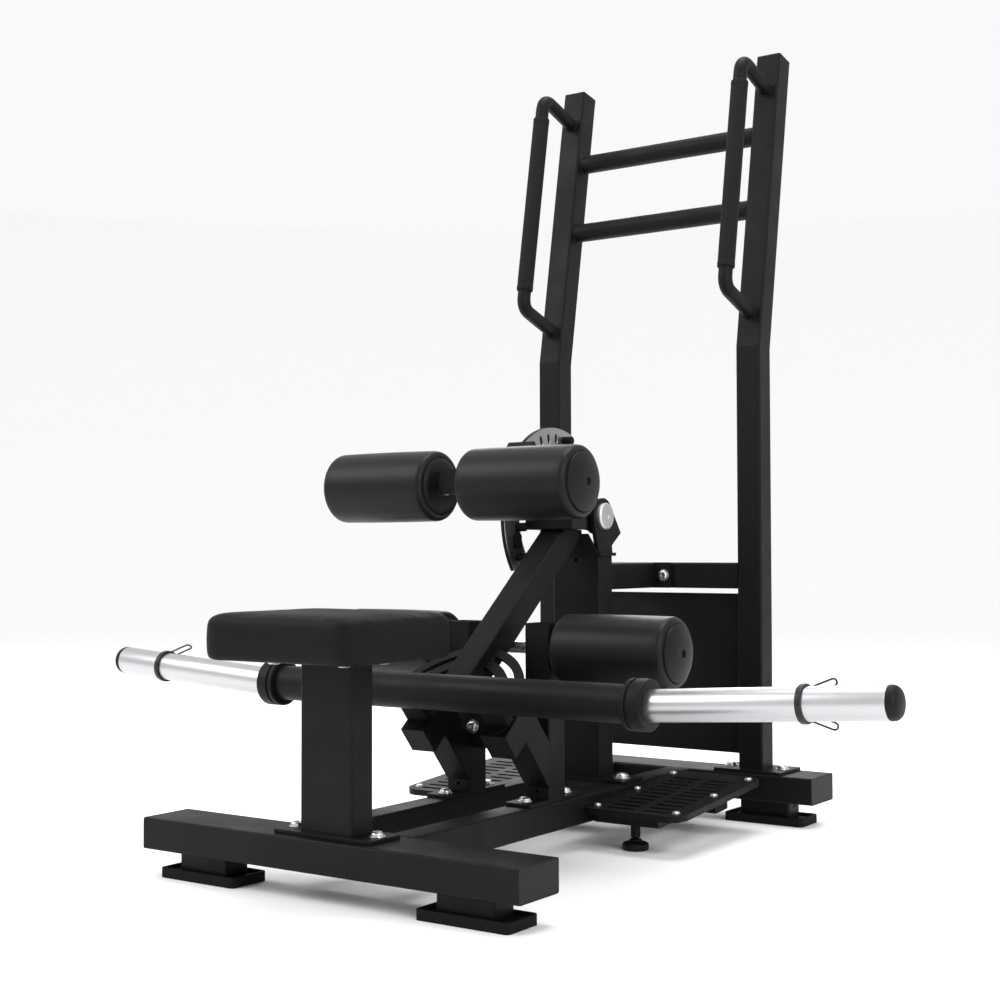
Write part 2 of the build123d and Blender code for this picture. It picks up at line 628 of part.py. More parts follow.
with BuildPart() as foot_plate_screws:
    for s in (-1, 1):
        for x in screw_x:
            for y in screw_y:
                slope = Plane((s * x, y, on_plate(y)), x_dir=(1, 0, 0),
                              z_dir=(0, -sin(radians(foot_plate_deg)), plate_cos))
                with BuildSketch(slope):
                    Circle(screw_head_r)
                extrude(amount=screw_head_h)
                with BuildSketch(slope.offset(-foot_plate_t)):
                    Circle(screw_shank_r)
                extrude(amount=foot_plate_t)
                with BuildSketch(slope.offset(-foot_plate_t - screw_nut_h)):
                    RegularPolygon(screw_nut_r, 6)
                extrude(amount=screw_nut_h)
    heads = [e for e in foot_plate_screws.edges().filter_by(GeomType.CIRCLE)
             if abs(e.radius - screw_head_r) < 0.01 and e.center().Z > on_plate(e.center().Y) + 2]
    fillet(heads, 2.6)
save(foot_plate_screws.part, "foot_plate_screws")

for side, s in SIDES:
    with BuildPart() as levelling_foot:
        with BuildSketch(Plane.XZ):
            with BuildLine():
                Polyline((0, 0), (level_pad_r - 2, 0), (level_pad_r, 2), (level_pad_r, level_pad_h - 6),
                         (level_pad_r - 5, level_pad_h - 3), (level_stud_r + 3, level_pad_h),
                         (level_stud_r, level_pad_h), (level_stud_r, level_stud_top), (0, level_stud_top),
                         close=True)
            make_face()
        revolve(axis=Axis.Z)
    save(levelling_foot.part.moved(Location((s * level_x, level_y, 0))), f"{side}_levelling_foot")

# ================================================================ weight arm


def arm_point(s, h):
    """(y, z) at s up the sloping arm from the crossbar and h off its upper face."""
    return bar_y + s * arm_cos - h * arm_sin, bar_z + s * arm_sin + h * arm_cos


def arm_outline(inset, start, beyond):
    """Side outline of the sloping arm tube, cut level under the cross tube and upright behind it."""
    top_s = (cross_z0 + beyond - bar_z + inset * arm_cos) / arm_sin
    low_h = -tube + inset
    back_y = arm_back_y + beyond
    back_s = (back_y - bar_y + low_h * arm_sin) / arm_cos
    return [arm_point(start, -inset), arm_point(top_s, -inset), (back_y, cross_z0 + beyond),
            arm_point(back_s, low_h), arm_point(start, low_h)]


with BuildPart() as arm_tube:
    side_shape(arm_outline(0, 12, 0), -tube / 2, tube / 2)
    fillet([e for e in arm_tube.edges() if e.length > 200], corner)
    side_shape(arm_outline(wall, 0, 1.0), -tube / 2 + wall, tube / 2 - wall, mode=Mode.SUBTRACT)
    rod(-tube, tube, bar_y, bar_z, bar_r, mode=Mode.SUBTRACT)
save(arm_tube.part, "arm_tube")

cross_mid_y = cross_y0 + tube / 2
cross_mid_z = cross_z0 + tube / 2
with BuildPart() as arm_cross_tube:
    box_tube(along(x=-cross_w / 2), (cross_mid_y, cross_mid_z), tube, tube, cross_w)
save(arm_cross_tube.part, "arm_cross_tube")

# Hub: two link plates from the cross tube to the axle, each with a bearing ring outside it.
with BuildPart() as arm_hub:
    for s in (-1, 1):
        inner, outer = s * link_in, s * (link_in + link_t)
        with BuildSketch(along(x=min(inner, outer))):
            with Locations((pivot_y, pivot_z)):
                Circle(ring_r)
            with BuildLine():
                Polyline((cross_y0 + tube, cross_z0 + 3), (pivot_y, pivot_z - ring_r + 4),
                         (pivot_y, pivot_z + ring_r - 4), (cross_y0 + tube, cross_z0 + tube - 3), close=True)
            make_face()
        extrude(amount=link_t)
        ring = (outer, outer + s * ring_t)
        rod(min(ring), max(ring), pivot_y, pivot_z, ring_r - 6)
    rod(-bar_half, bar_half, pivot_y, pivot_z, axle_r + run_gap, mode=Mode.SUBTRACT)
save(arm_hub.part, "arm_hub")

# Fan gusset: a half round plate in the arm's own slope, with arc slots either side of the arm tube.
fan_plane = Plane((0, bar_y, bar_z), x_dir=(1, 0, 0), z_dir=(0, -arm_sin, arm_cos)).offset(-fan_drop - fan_t / 2)
with BuildPart() as fan_gusset:
    with BuildSketch(fan_plane):
        with BuildLine():
            CenterArc((0, 0), fan_r, 0, 180)
            Line((fan_r, 0), (-fan_r, 0))
        make_face()
        for r0, r1 in fan_slots:
            for a0 in (90 - fan_slot_to, 90 + fan_slot_from):
                span = fan_slot_to - fan_slot_from
                with BuildLine():
                    CenterArc((0, 0), r0, a0, span)
                    CenterArc((0, 0), r1, a0, span)
                    for a in (a0, a0 + span):
                        Line((r0 * cos(radians(a)), r0 * sin(radians(a))),
                             (r1 * cos(radians(a)), r1 * sin(radians(a))))
                make_face(mode=Mode.SUBTRACT)
        with Locations((0, fan_r / 2)):
            Rectangle(tube, fan_r, mode=Mode.SUBTRACT)
        Rectangle(2 * fan_r + 2, 40, mode=Mode.SUBTRACT)
    extrude(amount=fan_t)
    rod(-bar_half, bar_half, bar_y, bar_z, bar_r, mode=Mode.SUBTRACT)
save(fan_gusset.part, "fan_gusset")

with BuildPart() as crossbar:
    rod(-bar_half, bar_half, bar_y, bar_z, bar_r)
    rod(-bar_half, bar_half, bar_y, bar_z, bar_r - bar_wall, mode=Mode.SUBTRACT)
save(crossbar.part, "crossbar")

with BuildPart() as sleeve_collars:
    for s in (-1, 1):
        x0, x1 = sorted((s * bar_half, s * collar_x1))
        rod(x0, x1, bar_y, bar_z, collar_r)
    fillet(sleeve_collars.edges().filter_by(GeomType.CIRCLE), 3.0)
    for s in (-1, 1):
        mid = s * (bar_half + collar_groove_x)
        with BuildSketch(along(x=mid - collar_groove_w / 2)):
            with Locations((bar_y, bar_z)):
                Circle(collar_r + 1)
                Circle(collar_r - collar_groove, mode=Mode.SUBTRACT)
        extrude(amount=collar_groove_w, mode=Mode.SUBTRACT)
save(sleeve_collars.part, "sleeve_collars")


def sleeve_plane(s, x):
    """Plane square to a sleeve where its centre line is at x (right side positive)."""
    rise = (x - collar_x1) * tan(radians(sleeve_deg))
    return Plane((s * x, bar_y, bar_z - sleeve_drop + rise), x_dir=(0, 1, 0),
                 z_dir=(s * sleeve_dir[0], 0, sleeve_dir[2]))


sleeve_run = (sleeve_x1 - collar_x1) / sleeve_dir[0]
with BuildPart() as weight_sleeves:
    for s in (-1, 1):
        with BuildSketch(sleeve_plane(s, collar_x1 - 5)):
            Circle(sleeve_r)
            Circle(sleeve_r - sleeve_wall, mode=Mode.SUBTRACT)
        extrude(amount=sleeve_run + 5 / sleeve_dir[0])
    with BuildSketch(along(x=-collar_x1)):
        with Locations((bar_y, bar_z)):
            Rectangle(200, 200)
    extrude(amount=2 * collar_x1, mode=Mode.SUBTRACT)
save(weight_sleeves.part, "weight_sleeves")

with BuildPart() as sleeve_end_caps:
    for s in (-1, 1):
        with BuildSketch(sleeve_plane(s, sleeve_x1)):
            Circle(sleeve_r)
        extrude(amount=end_cap_len)
    tips = sleeve_end_caps.edges().filter_by(GeomType.CIRCLE)
    fillet([e for e in tips if abs(e.center().X) > sleeve_x1 + end_cap_len / 2], end_cap_round)
    for s in (-1, 1):
        with BuildSketch(sleeve_plane(s, sleeve_x1 - end_cap_plug)):
            Circle(sleeve_r - sleeve_wall - run_gap)
        extrude(amount=(end_cap_plug + fit_gap) / sleeve_dir[0])
save(sleeve_end_caps.part, "sleeve_end_caps")

# Spring collars: a sprung band with two wire loops that slope out at the back, for a hand to squeeze.
for side, s, clip_x, degs in (("left", -1, clip_left_x, clip_left_degs),
                              ("right", 1, clip_right_x, clip_right_degs)):
    place = sleeve_plane(s, clip_x)
    to_right = place.z_dir * s
    upward = place.y_dir if place.y_dir.Z > 0 else -place.y_dir
    with BuildPart() as spring_collar:
        with BuildSketch(place.offset(-clip_ring_len / 2)):
            Circle(clip_ring_r)
            Circle(sleeve_r + clip_gap, mode=Mode.SUBTRACT)
        extrude(amount=clip_ring_len)
        for deg in degs:
            outward = Vector(0, 1, 0) * cos(radians(deg)) + upward * sin(radians(deg))
            leg = to_right * (clip_tip_x - clip_root_x) + outward * (clip_tip_r - clip_root_r)
            root = place.origin + to_right * clip_root_x + outward * clip_root_r
            loop_plane = Plane(root, x_dir=leg, z_dir=to_right.cross(outward).cross(leg))
            with BuildLine(loop_plane) as loop:
                FilletPolyline((0, clip_loop_w / 2), (leg.length, clip_loop_w / 2),
                               (leg.length, -clip_loop_w / 2), (0, -clip_loop_w / 2),
                               radius=clip_loop_w / 2 - 0.5)
            with BuildSketch(Plane(loop.line @ 0, z_dir=loop.line % 0)):
                Circle(clip_wire_r)
            sweep()
    save(spring_collar.part, f"{side}_spring_collar")

# ================================================================ sector plate


def polar(deg, r):
    """(y, z) at a radius and an angle about the pivot, measured up from the -Y direction."""
    return pivot_y - r * cos(radians(deg)), pivot_z + r * sin(radians(deg))


def sector_band(x, t, trim):
    """The sector band with its round ended index slots, t thick from x."""
    with BuildSketch(along(x=x)) as band:
        with BuildLine():
            low, high = sector_low_deg, sector_high_deg
            mid = (low + high) / 2
            out_r, in_r = sector_out_r - trim, sector_in_r + trim
            ThreePointArc(polar(low, out_r), polar(mid, out_r), polar(high, out_r))
            Line(polar(high, out_r), polar(high, in_r))
            ThreePointArc(polar(high, in_r), polar(mid, in_r), polar(low, in_r))
            Line(polar(low, in_r), polar(low, out_r))
        make_face()
        for k in range(slot_count):
            deg = slot_first_deg + k * slot_pitch_deg
            with Locations(Location((*polar(deg, slot_r), 0), (0, 0, 1), 180 - deg)):
                SlotCenterToCenter(2 * slot_half_len, 2 * slot_half_w, mode=Mode.SUBTRACT)
    extrude(band.sketch, amount=t)


with BuildPart() as sector_plate:
    sector_band(sector_x0, sector_t, 0)
    lug_front = pivot_y - sector_in_r - 6
    lug_back = cross_y0 + tube - 12
    side_shape([(lug_front, lug_low_z), (lug_back, lug_low_z), (lug_back, lug_high_z),
                (lug_front, lug_high_z)], sector_x0, sector_face)
    side_shape([(cross_y0 + 6, lug_low_z + 2), (lug_back - 2, lug_low_z + 2), (lug_back - 2, lug_high_z - 2),
                (cross_y0 + 6, lug_high_z - 2)], sector_face, -cross_w / 2)
    stay_y, stay_z = polar(sector_low_deg + 5, (sector_out_r + sector_in_r) / 2)
    rod(sector_face, -tube / 2, stay_y, stay_z, stop_pin_r)
save(sector_plate.part, "sector_plate")

with BuildPart() as index_plate:
    sector_band(sector_face, index_plate_t, 1.0)
    rod(sector_face, index_face, stay_y, stay_z, stop_pin_r, mode=Mode.SUBTRACT)
save(index_plate.part, "index_plate")

with BuildPart() as sector_stops:
    for deg, r in stop_pins:
        y, z = polar(deg, r)
        rod(index_face, index_face + stop_pin_len, y, z, stop_pin_r)
    fillet([e for e in sector_stops.edges().filter_by(GeomType.CIRCLE)
            if e.center().X > index_face + 1], 1.5)
    with BuildSketch(along(x=index_face)):
        with Locations(Location((*polar(stop_pad_deg, stop_pad_r), 0), (0, 0, 1), 90)):
            SlotCenterToCenter(13, 14)
    extrude(amount=10)
save(sector_stops.part, "sector_stops")

with BuildPart() as arm_rest_pad:
    flat_plate(cross_z0 + tube, (0, cross_mid_y), pad_tube - 4, rest_pad_d,
               pad_tube_z - pad_side - fit_gap - cross_z0 - tube, 3.0)
save(arm_rest_pad.part, "arm_rest_pad")

# ================================================================ pad arm
with BuildPart() as pad_arm_beam:
    with BuildSketch(along(y=pad_tube_y1)):
        with Locations((0, pad_tube_z)):
            RectangleRounded(pad_tube, pad_tube, corner)
    extrude(amount=pad_tube_y1 - pad_tube_y0)
    with BuildSketch(along(y=pad_tube_y1)):
        with Locations((0, pad_tube_z)):
            RectangleRounded(pad_tube - 2 * wall, pad_tube - 2 * wall, 1.5)
    extrude(amount=pad_tube_y1 - pad_tube_y0 - pad_block_len, mode=Mode.SUBTRACT)
    for x0 in (-hub_half, hub_half - pad_ear_t):
        side_shape([(pad_ear_y0, pad_tube_z + pad_side - 6), (pad_ear_y0, pad_tube_z - pad_side),
                    (pivot_y - hub_r + 2, pivot_z - 6), (pivot_y + hub_r - 2, pivot_z - 6),
                    (pad_tube_y1, pad_tube_z - pad_side), (pad_tube_y1, pad_tube_z + pad_side - 6)],
                   x0, x0 + pad_ear_t)
    rod(-hub_half, hub_half, pivot_y, pivot_z, hub_r)
    rod(-hub_half, hub_half, pivot_y, pivot_z, axle_r + run_gap, mode=Mode.SUBTRACT)
    rod(-pad_tube, pad_tube, upper_roller_y, upper_roller_z, roller_axle_r, mode=Mode.SUBTRACT)
save(pad_arm_beam.part, "pad_arm_beam")

with BuildPart() as upper_roller_axle:
    roller_axle(upper_roller_y, upper_roller_z, upper_roller_x0 + roller_len + cap_dome - axle_short,
                pad_side, upper_roller_x0 - cap_reach - 0.5)
save(upper_roller_axle.part, "upper_roller_axle")

# The pin stands square to the sector plate at the first slot; its carrier reaches over the rim.
pin_y, pin_z = polar(slot_first_deg, slot_r)
pin_frame = Plane((0, pivot_y, pivot_z), x_dir=(0, -cos(radians(slot_first_deg)), sin(radians(slot_first_deg))),
                  z_dir=(1, 0, 0))
rim_r = sector_out_r + 4
leg_x1 = sector_x0 - 4
leg_x0 = leg_x1 - carrier_t
with BuildPart() as pin_carrier:
    for r0, r1, x0, x1 in ((70, rim_r + 10, -pad_side - carrier_t, -pad_side),
                           (rim_r, rim_r + 10, leg_x0, -pad_side),
                           (slot_r - 15, rim_r + 10, leg_x0, leg_x1)):
        with BuildSketch(pin_frame.offset(x0)):
            with Locations(((r0 + r1) / 2, 0)):
                Rectangle(r1 - r0, 2 * carrier_half_w)
        extrude(amount=x1 - x0)
    rod(leg_x0 - 1, leg_x1 + 1, pin_y, pin_z, pin_r + run_gap, mode=Mode.SUBTRACT)
save(pin_carrier.part, "pin_carrier")

with BuildPart() as index_pin:
    pin_tip = sector_x0 - 1
    knob_x1 = leg_x0 - pin_travel - 1
    rod(knob_x1 - 2, pin_tip, pin_y, pin_z, pin_r)
    rod(knob_x1 - knob_len, knob_x1, pin_y, pin_z, knob_r)
    fillet([e for e in index_pin.edges().filter_by(GeomType.CIRCLE) if abs(e.radius - knob_r) < 0.01], 4.0)
save(index_pin.part, "index_pin")

# ================================================================ rollers


def roller_cap(inner):
    """Half section of a roller end cap in (x, r): sleeve, sunk flange, domed face."""
    with BuildSketch(Plane.XY) as half:
        with BuildLine():
            bore = roller_axle_r + run_gap
            face = cap_flat if inner else cap_dome
            if inner:
                sweep_r = cap_r * sqrt(1 - (cap_dome - cap_flat) / cap_dome) * 0.9
                Polyline((-cap_sunk - cap_sleeve_len, bore), (-cap_sunk - cap_sleeve_len, roller_bore - run_gap),
                         (-cap_sunk, roller_bore - run_gap), (-cap_sunk, cap_r), (0, cap_r))
                ThreePointArc((0, cap_r), (cap_reach * 0.62, cap_r * 0.8), (cap_reach, sweep_r))
                Polyline((cap_reach, sweep_r), (cap_reach, bore), (-cap_sunk - cap_sleeve_len, bore))
            else:
                inner_end = face - axle_short + 1
                Polyline((-cap_sunk - cap_sleeve_len, bore), (-cap_sunk - cap_sleeve_len, roller_bore - run_gap),
                         (-cap_sunk, roller_bore - run_gap), (-cap_sunk, cap_r), (0, cap_r))
                ThreePointArc((0, cap_r), (face * 0.72, cap_r * 0.52), (face, cap_hole_r))
                Polyline((face, cap_hole_r), (inner_end, cap_hole_r), (inner_end, bore),
                         (-cap_sunk - cap_sleeve_len, bore))
        make_face()
    revolve(half.sketch, axis=Axis.X)


def roller_foam():
    """Foam sleeve of a roller with rounded ends, a bore and a shallow seat for each cap."""
    with BuildSketch(Plane.XY) as half:
        with BuildLine():
            edge = roller_edge
            Polyline((0, cap_r + run_gap), (0, roller_r - edge))
            ThreePointArc((0, roller_r - edge), (edge * (1 - sqrt(0.5)), roller_r - edge * (1 - sqrt(0.5))),
                          (edge, roller_r))
            Line((edge, roller_r), (roller_len - edge, roller_r))
            ThreePointArc((roller_len - edge, roller_r),
                          (roller_len - edge * (1 - sqrt(0.5)), roller_r - edge * (1 - sqrt(0.5))),
                          (roller_len, roller_r - edge))
            Polyline((roller_len, roller_r - edge), (roller_len, cap_r + run_gap),
                     (roller_len - cap_sunk, cap_r + run_gap), (roller_len - cap_sunk, roller_bore),
                     (cap_sunk, roller_bore), (cap_sunk, cap_r + run_gap), (0, cap_r + run_gap))
        make_face()
    revolve(half.sketch, axis=Axis.X)


with BuildPart() as foam:
    roller_foam()
with BuildPart() as inner_cap:
    roller_cap(inner=True)
with BuildPart() as outer_cap:
    roller_cap(inner=False)

for level, x0, y, z in (("upper", upper_roller_x0, upper_roller_y, upper_roller_z),
                        ("lower", lower_roller_x0, support_y, lower_roller_z)):
    for side, s in SIDES:
        turn = 0 if s > 0 else 180
        place = Location((s * x0, y, z), (0, 0, turn))
        save(foam.part.moved(place), f"{level}_{side}_roller_foam")
        with BuildPart() as caps:
            add(inner_cap.part.moved(place * Location((0, 0, 0), (0, 0, 180))))
            add(outer_cap.part.moved(place * Location((roller_len, 0, 0))))
        save(caps.part, f"{level}_{side}_roller_caps")

# ================================================================ plugs and fasteners
with BuildPart() as tube_end_caps:
    for s in (-1, 1):
        for y in (front_beam_y, rear_beam_y):
            with BuildSketch(along(x=s * base_half)):
                with Locations((y, beam_mid_z)):
                    RectangleRounded(beam_w - 2 * wall, tube - 2 * wall, 1.5)
            extrude(amount=-s * plug_len)
        for y, h in ((front_bracket_y, front_bracket_h), (rear_bracket_y, rear_bracket_h)):
            end = Plane((s * bracket_x1, y, on_plate(y)),
                        x_dir=(0, plate_cos, sin(radians(foot_plate_deg))), z_dir=(1, 0, 0))
            with BuildSketch(end):
                with Locations((0, -foot_plate_t - h / 2)):
                    RectangleRounded(tube - 2 * wall, h - 2 * wall, 1.5)
            extrude(amount=-s * plug_len)
        top = Plane((s * upright_x, upright_top_y + tube / 2 * lean_cos, upright_top_z - tube / 2 * lean_sin),
                    x_dir=(1, 0, 0), z_dir=(0, lean_sin, lean_cos))
        with BuildSketch(top):
            Rectangle(tube - 2 * wall, tube - 2 * wall)
        extrude(amount=-plug_len)
        with BuildSketch(top):
            RectangleRounded(tube, tube, corner)
        extrude(amount=3)
save(tube_end_caps.part, "tube_end_caps")

with BuildPart() as cross_tube_caps:
    for s in (-1, 1):
        with BuildSketch(along(x=s * cross_w / 2)):
            with Locations((cross_mid_y, cross_mid_z)):
                RectangleRounded(tube - 2 * wall, tube - 2 * wall, 1.5)
        extrude(amount=-s * plug_len)
save(cross_tube_caps.part, "cross_tube_caps")


def add_bolt(plane, scale=1.0):
    """A button head bolt with washer standing on a plane, its shank going down through it."""
    with BuildSketch(plane.offset(-shank_depth)) as shank:
        Circle(bolt_shank_r * scale)
    extrude(shank.sketch, amount=shank_depth)
    with BuildSketch(plane) as washer:
        Circle(bolt_washer_r * scale)
    extrude(washer.sketch, amount=bolt_washer_t)
    with BuildSketch(plane.offset(bolt_washer_t)) as head:
        Circle(bolt_r * scale)
    extrude(head.sketch, amount=bolt_head_h * scale, taper=24)


with BuildPart() as frame_bolts:
    for x, y in seat_bolts + support_bolts + upright_bolts:
        add_bolt(Plane((x, y, flange_top)))
    for x, y in post_bolts:
        add_bolt(Plane((x, y, flange_top)), big_bolt_scale)
    for s in (-1, 1):
        add_bolt(Plane((s * link_bolt_dx / 2, upright_face_y - flange_t, link_z), z_dir=(0, -1, 0)))
        add_bolt(Plane((s * tie_bolt_x, support_face_y - 2, (tie_low_z + tie_high_z) / 2), z_dir=(0, -1, 0)))
    for x, y in seat_bolt_spots:
        add_bolt(Plane((x, y, seat_top_plate_under), z_dir=(0, 0, -1)))
save(frame_bolts.part, "frame_bolts")
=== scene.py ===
import json
from math import cos, pi, radians, sin, tan

import bmesh
import bpy
import numpy as np
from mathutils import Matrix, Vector


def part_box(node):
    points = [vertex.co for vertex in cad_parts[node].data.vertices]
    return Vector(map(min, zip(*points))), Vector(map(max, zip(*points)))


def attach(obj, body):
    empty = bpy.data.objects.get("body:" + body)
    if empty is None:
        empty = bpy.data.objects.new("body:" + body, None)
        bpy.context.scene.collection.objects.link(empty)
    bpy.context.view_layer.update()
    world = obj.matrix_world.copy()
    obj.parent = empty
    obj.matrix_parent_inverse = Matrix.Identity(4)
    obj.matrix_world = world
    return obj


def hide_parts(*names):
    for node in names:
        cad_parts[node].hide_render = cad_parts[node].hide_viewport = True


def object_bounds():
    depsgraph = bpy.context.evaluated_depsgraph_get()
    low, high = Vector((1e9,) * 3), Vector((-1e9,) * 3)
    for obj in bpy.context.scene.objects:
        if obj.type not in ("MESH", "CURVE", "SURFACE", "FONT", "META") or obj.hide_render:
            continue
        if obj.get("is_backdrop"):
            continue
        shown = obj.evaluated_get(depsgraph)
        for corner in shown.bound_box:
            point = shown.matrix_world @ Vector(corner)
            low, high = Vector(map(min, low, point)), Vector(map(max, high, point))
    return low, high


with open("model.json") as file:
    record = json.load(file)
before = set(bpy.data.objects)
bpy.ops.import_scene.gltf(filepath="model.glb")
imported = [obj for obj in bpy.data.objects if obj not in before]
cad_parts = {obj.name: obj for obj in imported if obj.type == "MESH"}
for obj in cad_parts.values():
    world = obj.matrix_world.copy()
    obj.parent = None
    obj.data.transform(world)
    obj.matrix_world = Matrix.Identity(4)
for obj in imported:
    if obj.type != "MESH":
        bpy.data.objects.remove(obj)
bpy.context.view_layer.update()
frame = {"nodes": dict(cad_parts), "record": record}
nodes = frame["nodes"]
slot_of = {part["node"]: part["material_slot"] for part in frame["record"]["subparts"]}

# ---------------------------------------------------------------- welded frame
# Box tube, plates and flanges of mild steel, sawn, welded and then powder coated black
# in one go. The CAD parts are shown as they are; only their finish is made here.


def linear(hex_colour):
    """An sRGB hex colour as linear RGBA: c / 12.92 near black, else ((c + 0.055) / 1.055) ** 2.4."""
    channels = [int(hex_colour[i:i + 2], 16) / 255 for i in (1, 3, 5)]
    return (*[c / 12.92 if c <= 0.04045 else ((c + 0.055) / 1.055) ** 2.4 for c in channels], 1.0)


def add_node(tree, kind, sockets=None, **settings):
    """Adds a shader node with its settings; each socket gets a value, or a link from an output."""
    node = tree.nodes.new(kind)
    for key, value in settings.items():
        setattr(node, key, value)
    for key, value in (sockets or {}).items():
        if isinstance(value, bpy.types.NodeSocket):
            tree.links.new(value, node.inputs[key])
        else:
            node.inputs[key].default_value = value
    return node


def new_finish(name, colour, roughness, **shader_values):
    """A material with one Principled shader. Returns it, its tree, the shader and object coordinates."""
    finish = bpy.data.materials.new(name)
    finish.use_nodes = True
    tree = finish.node_tree
    tree.nodes.clear()
    values = {"Base Color": linear(colour), "Roughness": roughness}
    values.update({key.replace("_", " "): value for key, value in shader_values.items()})
    shader = add_node(tree, "ShaderNodeBsdfPrincipled", values)
    add_node(tree, "ShaderNodeOutputMaterial", {"Surface": shader.outputs["BSDF"]})
    place = add_node(tree, "ShaderNodeTexCoord").outputs["Object"]
    return finish, tree, shader, place


def per_metre(millimetres):
    """Texture scale of a pattern that repeats about every so many millimetres."""
    return 1000 / millimetres


def dress(slot, finish):
    """Gives a finish to every CAD node whose record names that slot."""
    for name, part in nodes.items():
        if slot_of[name] == slot:
            part.data.materials.clear()
            part.data.materials.append(finish)


# Polyester powder coat: baked on as dust, so it has a fine orange peel and softly rounded edges
# that catch a thin line of light. The real peel is about 1.5 mm; it is drawn at 2 mm to show.
peel_mm, mottle_mm, edge_round = 2.0, 70.0, 0.0012
powder_coat, tree, shader, place = new_finish("black powder coat", "#0A0A0B", 0.52, Specular_IOR_Level=0.15)
edge = add_node(tree, "ShaderNodeBevel", {"Radius": edge_round}, samples=4)
peel = add_node(tree, "ShaderNodeTexNoise", {"Vector": place, "Scale": per_metre(peel_mm), "Detail": 2.0})
bump = add_node(tree, "ShaderNodeBump", {"Height": peel.outputs["Fac"], "Strength": 0.12,
                                         "Distance": 0.0004, "Normal": edge.outputs["Normal"]})
tree.links.new(bump.outputs["Normal"], shader.inputs["Normal"])
mottle = add_node(tree, "ShaderNodeTexNoise", {"Vector": place, "Scale": per_metre(mottle_mm), "Detail": 3.0})
gloss = add_node(tree, "ShaderNodeMapRange", {"Value": mottle.outputs["Fac"], "From Min": 0.3,
                                              "From Max": 0.7, "To Min": 0.46, "To Max": 0.58})
tree.links.new(gloss.outputs["Result"], shader.inputs["Roughness"])
dress("black_powder_coat", powder_coat)

# ---------------------------------------------------------------- moulded rubber and plastic
# Foot trays, bumpers and the rest pads are moulded rubber; tube plugs are injection moulded
# plastic with a spark eroded grain. Both are dull beside the powder coat.
grain_mm = 0.9
rubber, tree, shader, place = new_finish("moulded rubber", "#0C0C0C", 0.75, Specular_IOR_Level=0.14)
grain = add_node(tree, "ShaderNodeTexNoise", {"Vector": place, "Scale": per_metre(grain_mm), "Detail": 2.0})
bump = add_node(tree, "ShaderNodeBump", {"Height": grain.outputs["Fac"], "Strength": 0.2, "Distance": 0.0002})
tree.links.new(bump.outputs["Normal"], shader.inputs["Normal"])
dress("black_rubber", rubber)

spark_mm = 0.7
plastic, tree, shader, place = new_finish("spark eroded ABS", "#0B0B0C", 0.5, Specular_IOR_Level=0.18)
grain = add_node(tree, "ShaderNodeTexVoronoi", {"Vector": place, "Scale": per_metre(spark_mm)})
bump = add_node(tree, "ShaderNodeBump", {"Height": grain.outputs["Distance"], "Strength": 0.15,
                                         "Distance": 0.0002})
tree.links.new(bump.outputs["Normal"], shader.inputs["Normal"])
dress("black_plastic", plastic)

# ---------------------------------------------------------------- seat pad
# A block of moulded foam on a plywood board, wrapped in black leatherette that is pulled
# over the edge and stapled underneath, so its top is crowned and its corners are full.
leather_mm = 1.6
leatherette, tree, shader, place = new_finish("leatherette", "#0B0B0C", 0.6, Specular_IOR_Level=0.12)
cells = add_node(tree, "ShaderNodeTexVoronoi", {"Vector": place, "Scale": per_metre(leather_mm)},
                 feature="SMOOTH_F1")
bump = add_node(tree, "ShaderNodeBump", {"Height": cells.outputs["Distance"], "Strength": 0.25,
                                         "Distance": 0.0003}, invert=True)
tree.links.new(bump.outputs["Normal"], shader.inputs["Normal"])
dress("black_leatherette", leatherette)


def show(name, grids, body, finish, slot, *stands_for, sharp_deg=35):
    """Makes a piece from grids of points, each rows by columns by 3. Columns always join round;
    rows join end to end where a grid comes as (points, True). Points that meet at a pole are merged
    and faces turned outwards; edges sharper than sharp_deg stay crisp."""
    points, quads, count = [], [], 0
    for grid in grids:
        net, ring = grid if isinstance(grid, tuple) else (grid, False)
        rows, columns = net.shape[:2]
        index = count + np.arange(rows * columns).reshape(rows, columns)
        index = np.hstack([index, index[:, :1]])
        index = np.vstack([index, index[:1]]) if ring else index
        corners = (index[:-1, :-1], index[:-1, 1:], index[1:, 1:], index[1:, :-1])
        quads.append(np.stack(corners, axis=-1).reshape(-1, 4))
        points.append(net.reshape(-1, 3))
        count += rows * columns
    mesh = bpy.data.meshes.new(name)
    mesh.from_pydata(np.concatenate(points).tolist(), [], np.concatenate(quads).tolist())
    shell = bmesh.new()
    shell.from_mesh(mesh)
    bmesh.ops.remove_doubles(shell, verts=shell.verts, dist=1e-6)
    bmesh.ops.recalc_face_normals(shell, faces=shell.faces)
    shell.to_mesh(mesh)
    shell.free()
    mesh.polygons.foreach_set("use_smooth", np.ones(len(mesh.polygons), bool))
    mesh.set_sharp_from_angle(angle=radians(sharp_deg))
    mesh.materials.append(finish)
    piece = bpy.data.objects.new(name, mesh)
    bpy.context.scene.collection.objects.link(piece)
    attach(piece, body)
    if stands_for:
        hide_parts(*stands_for)
    return piece


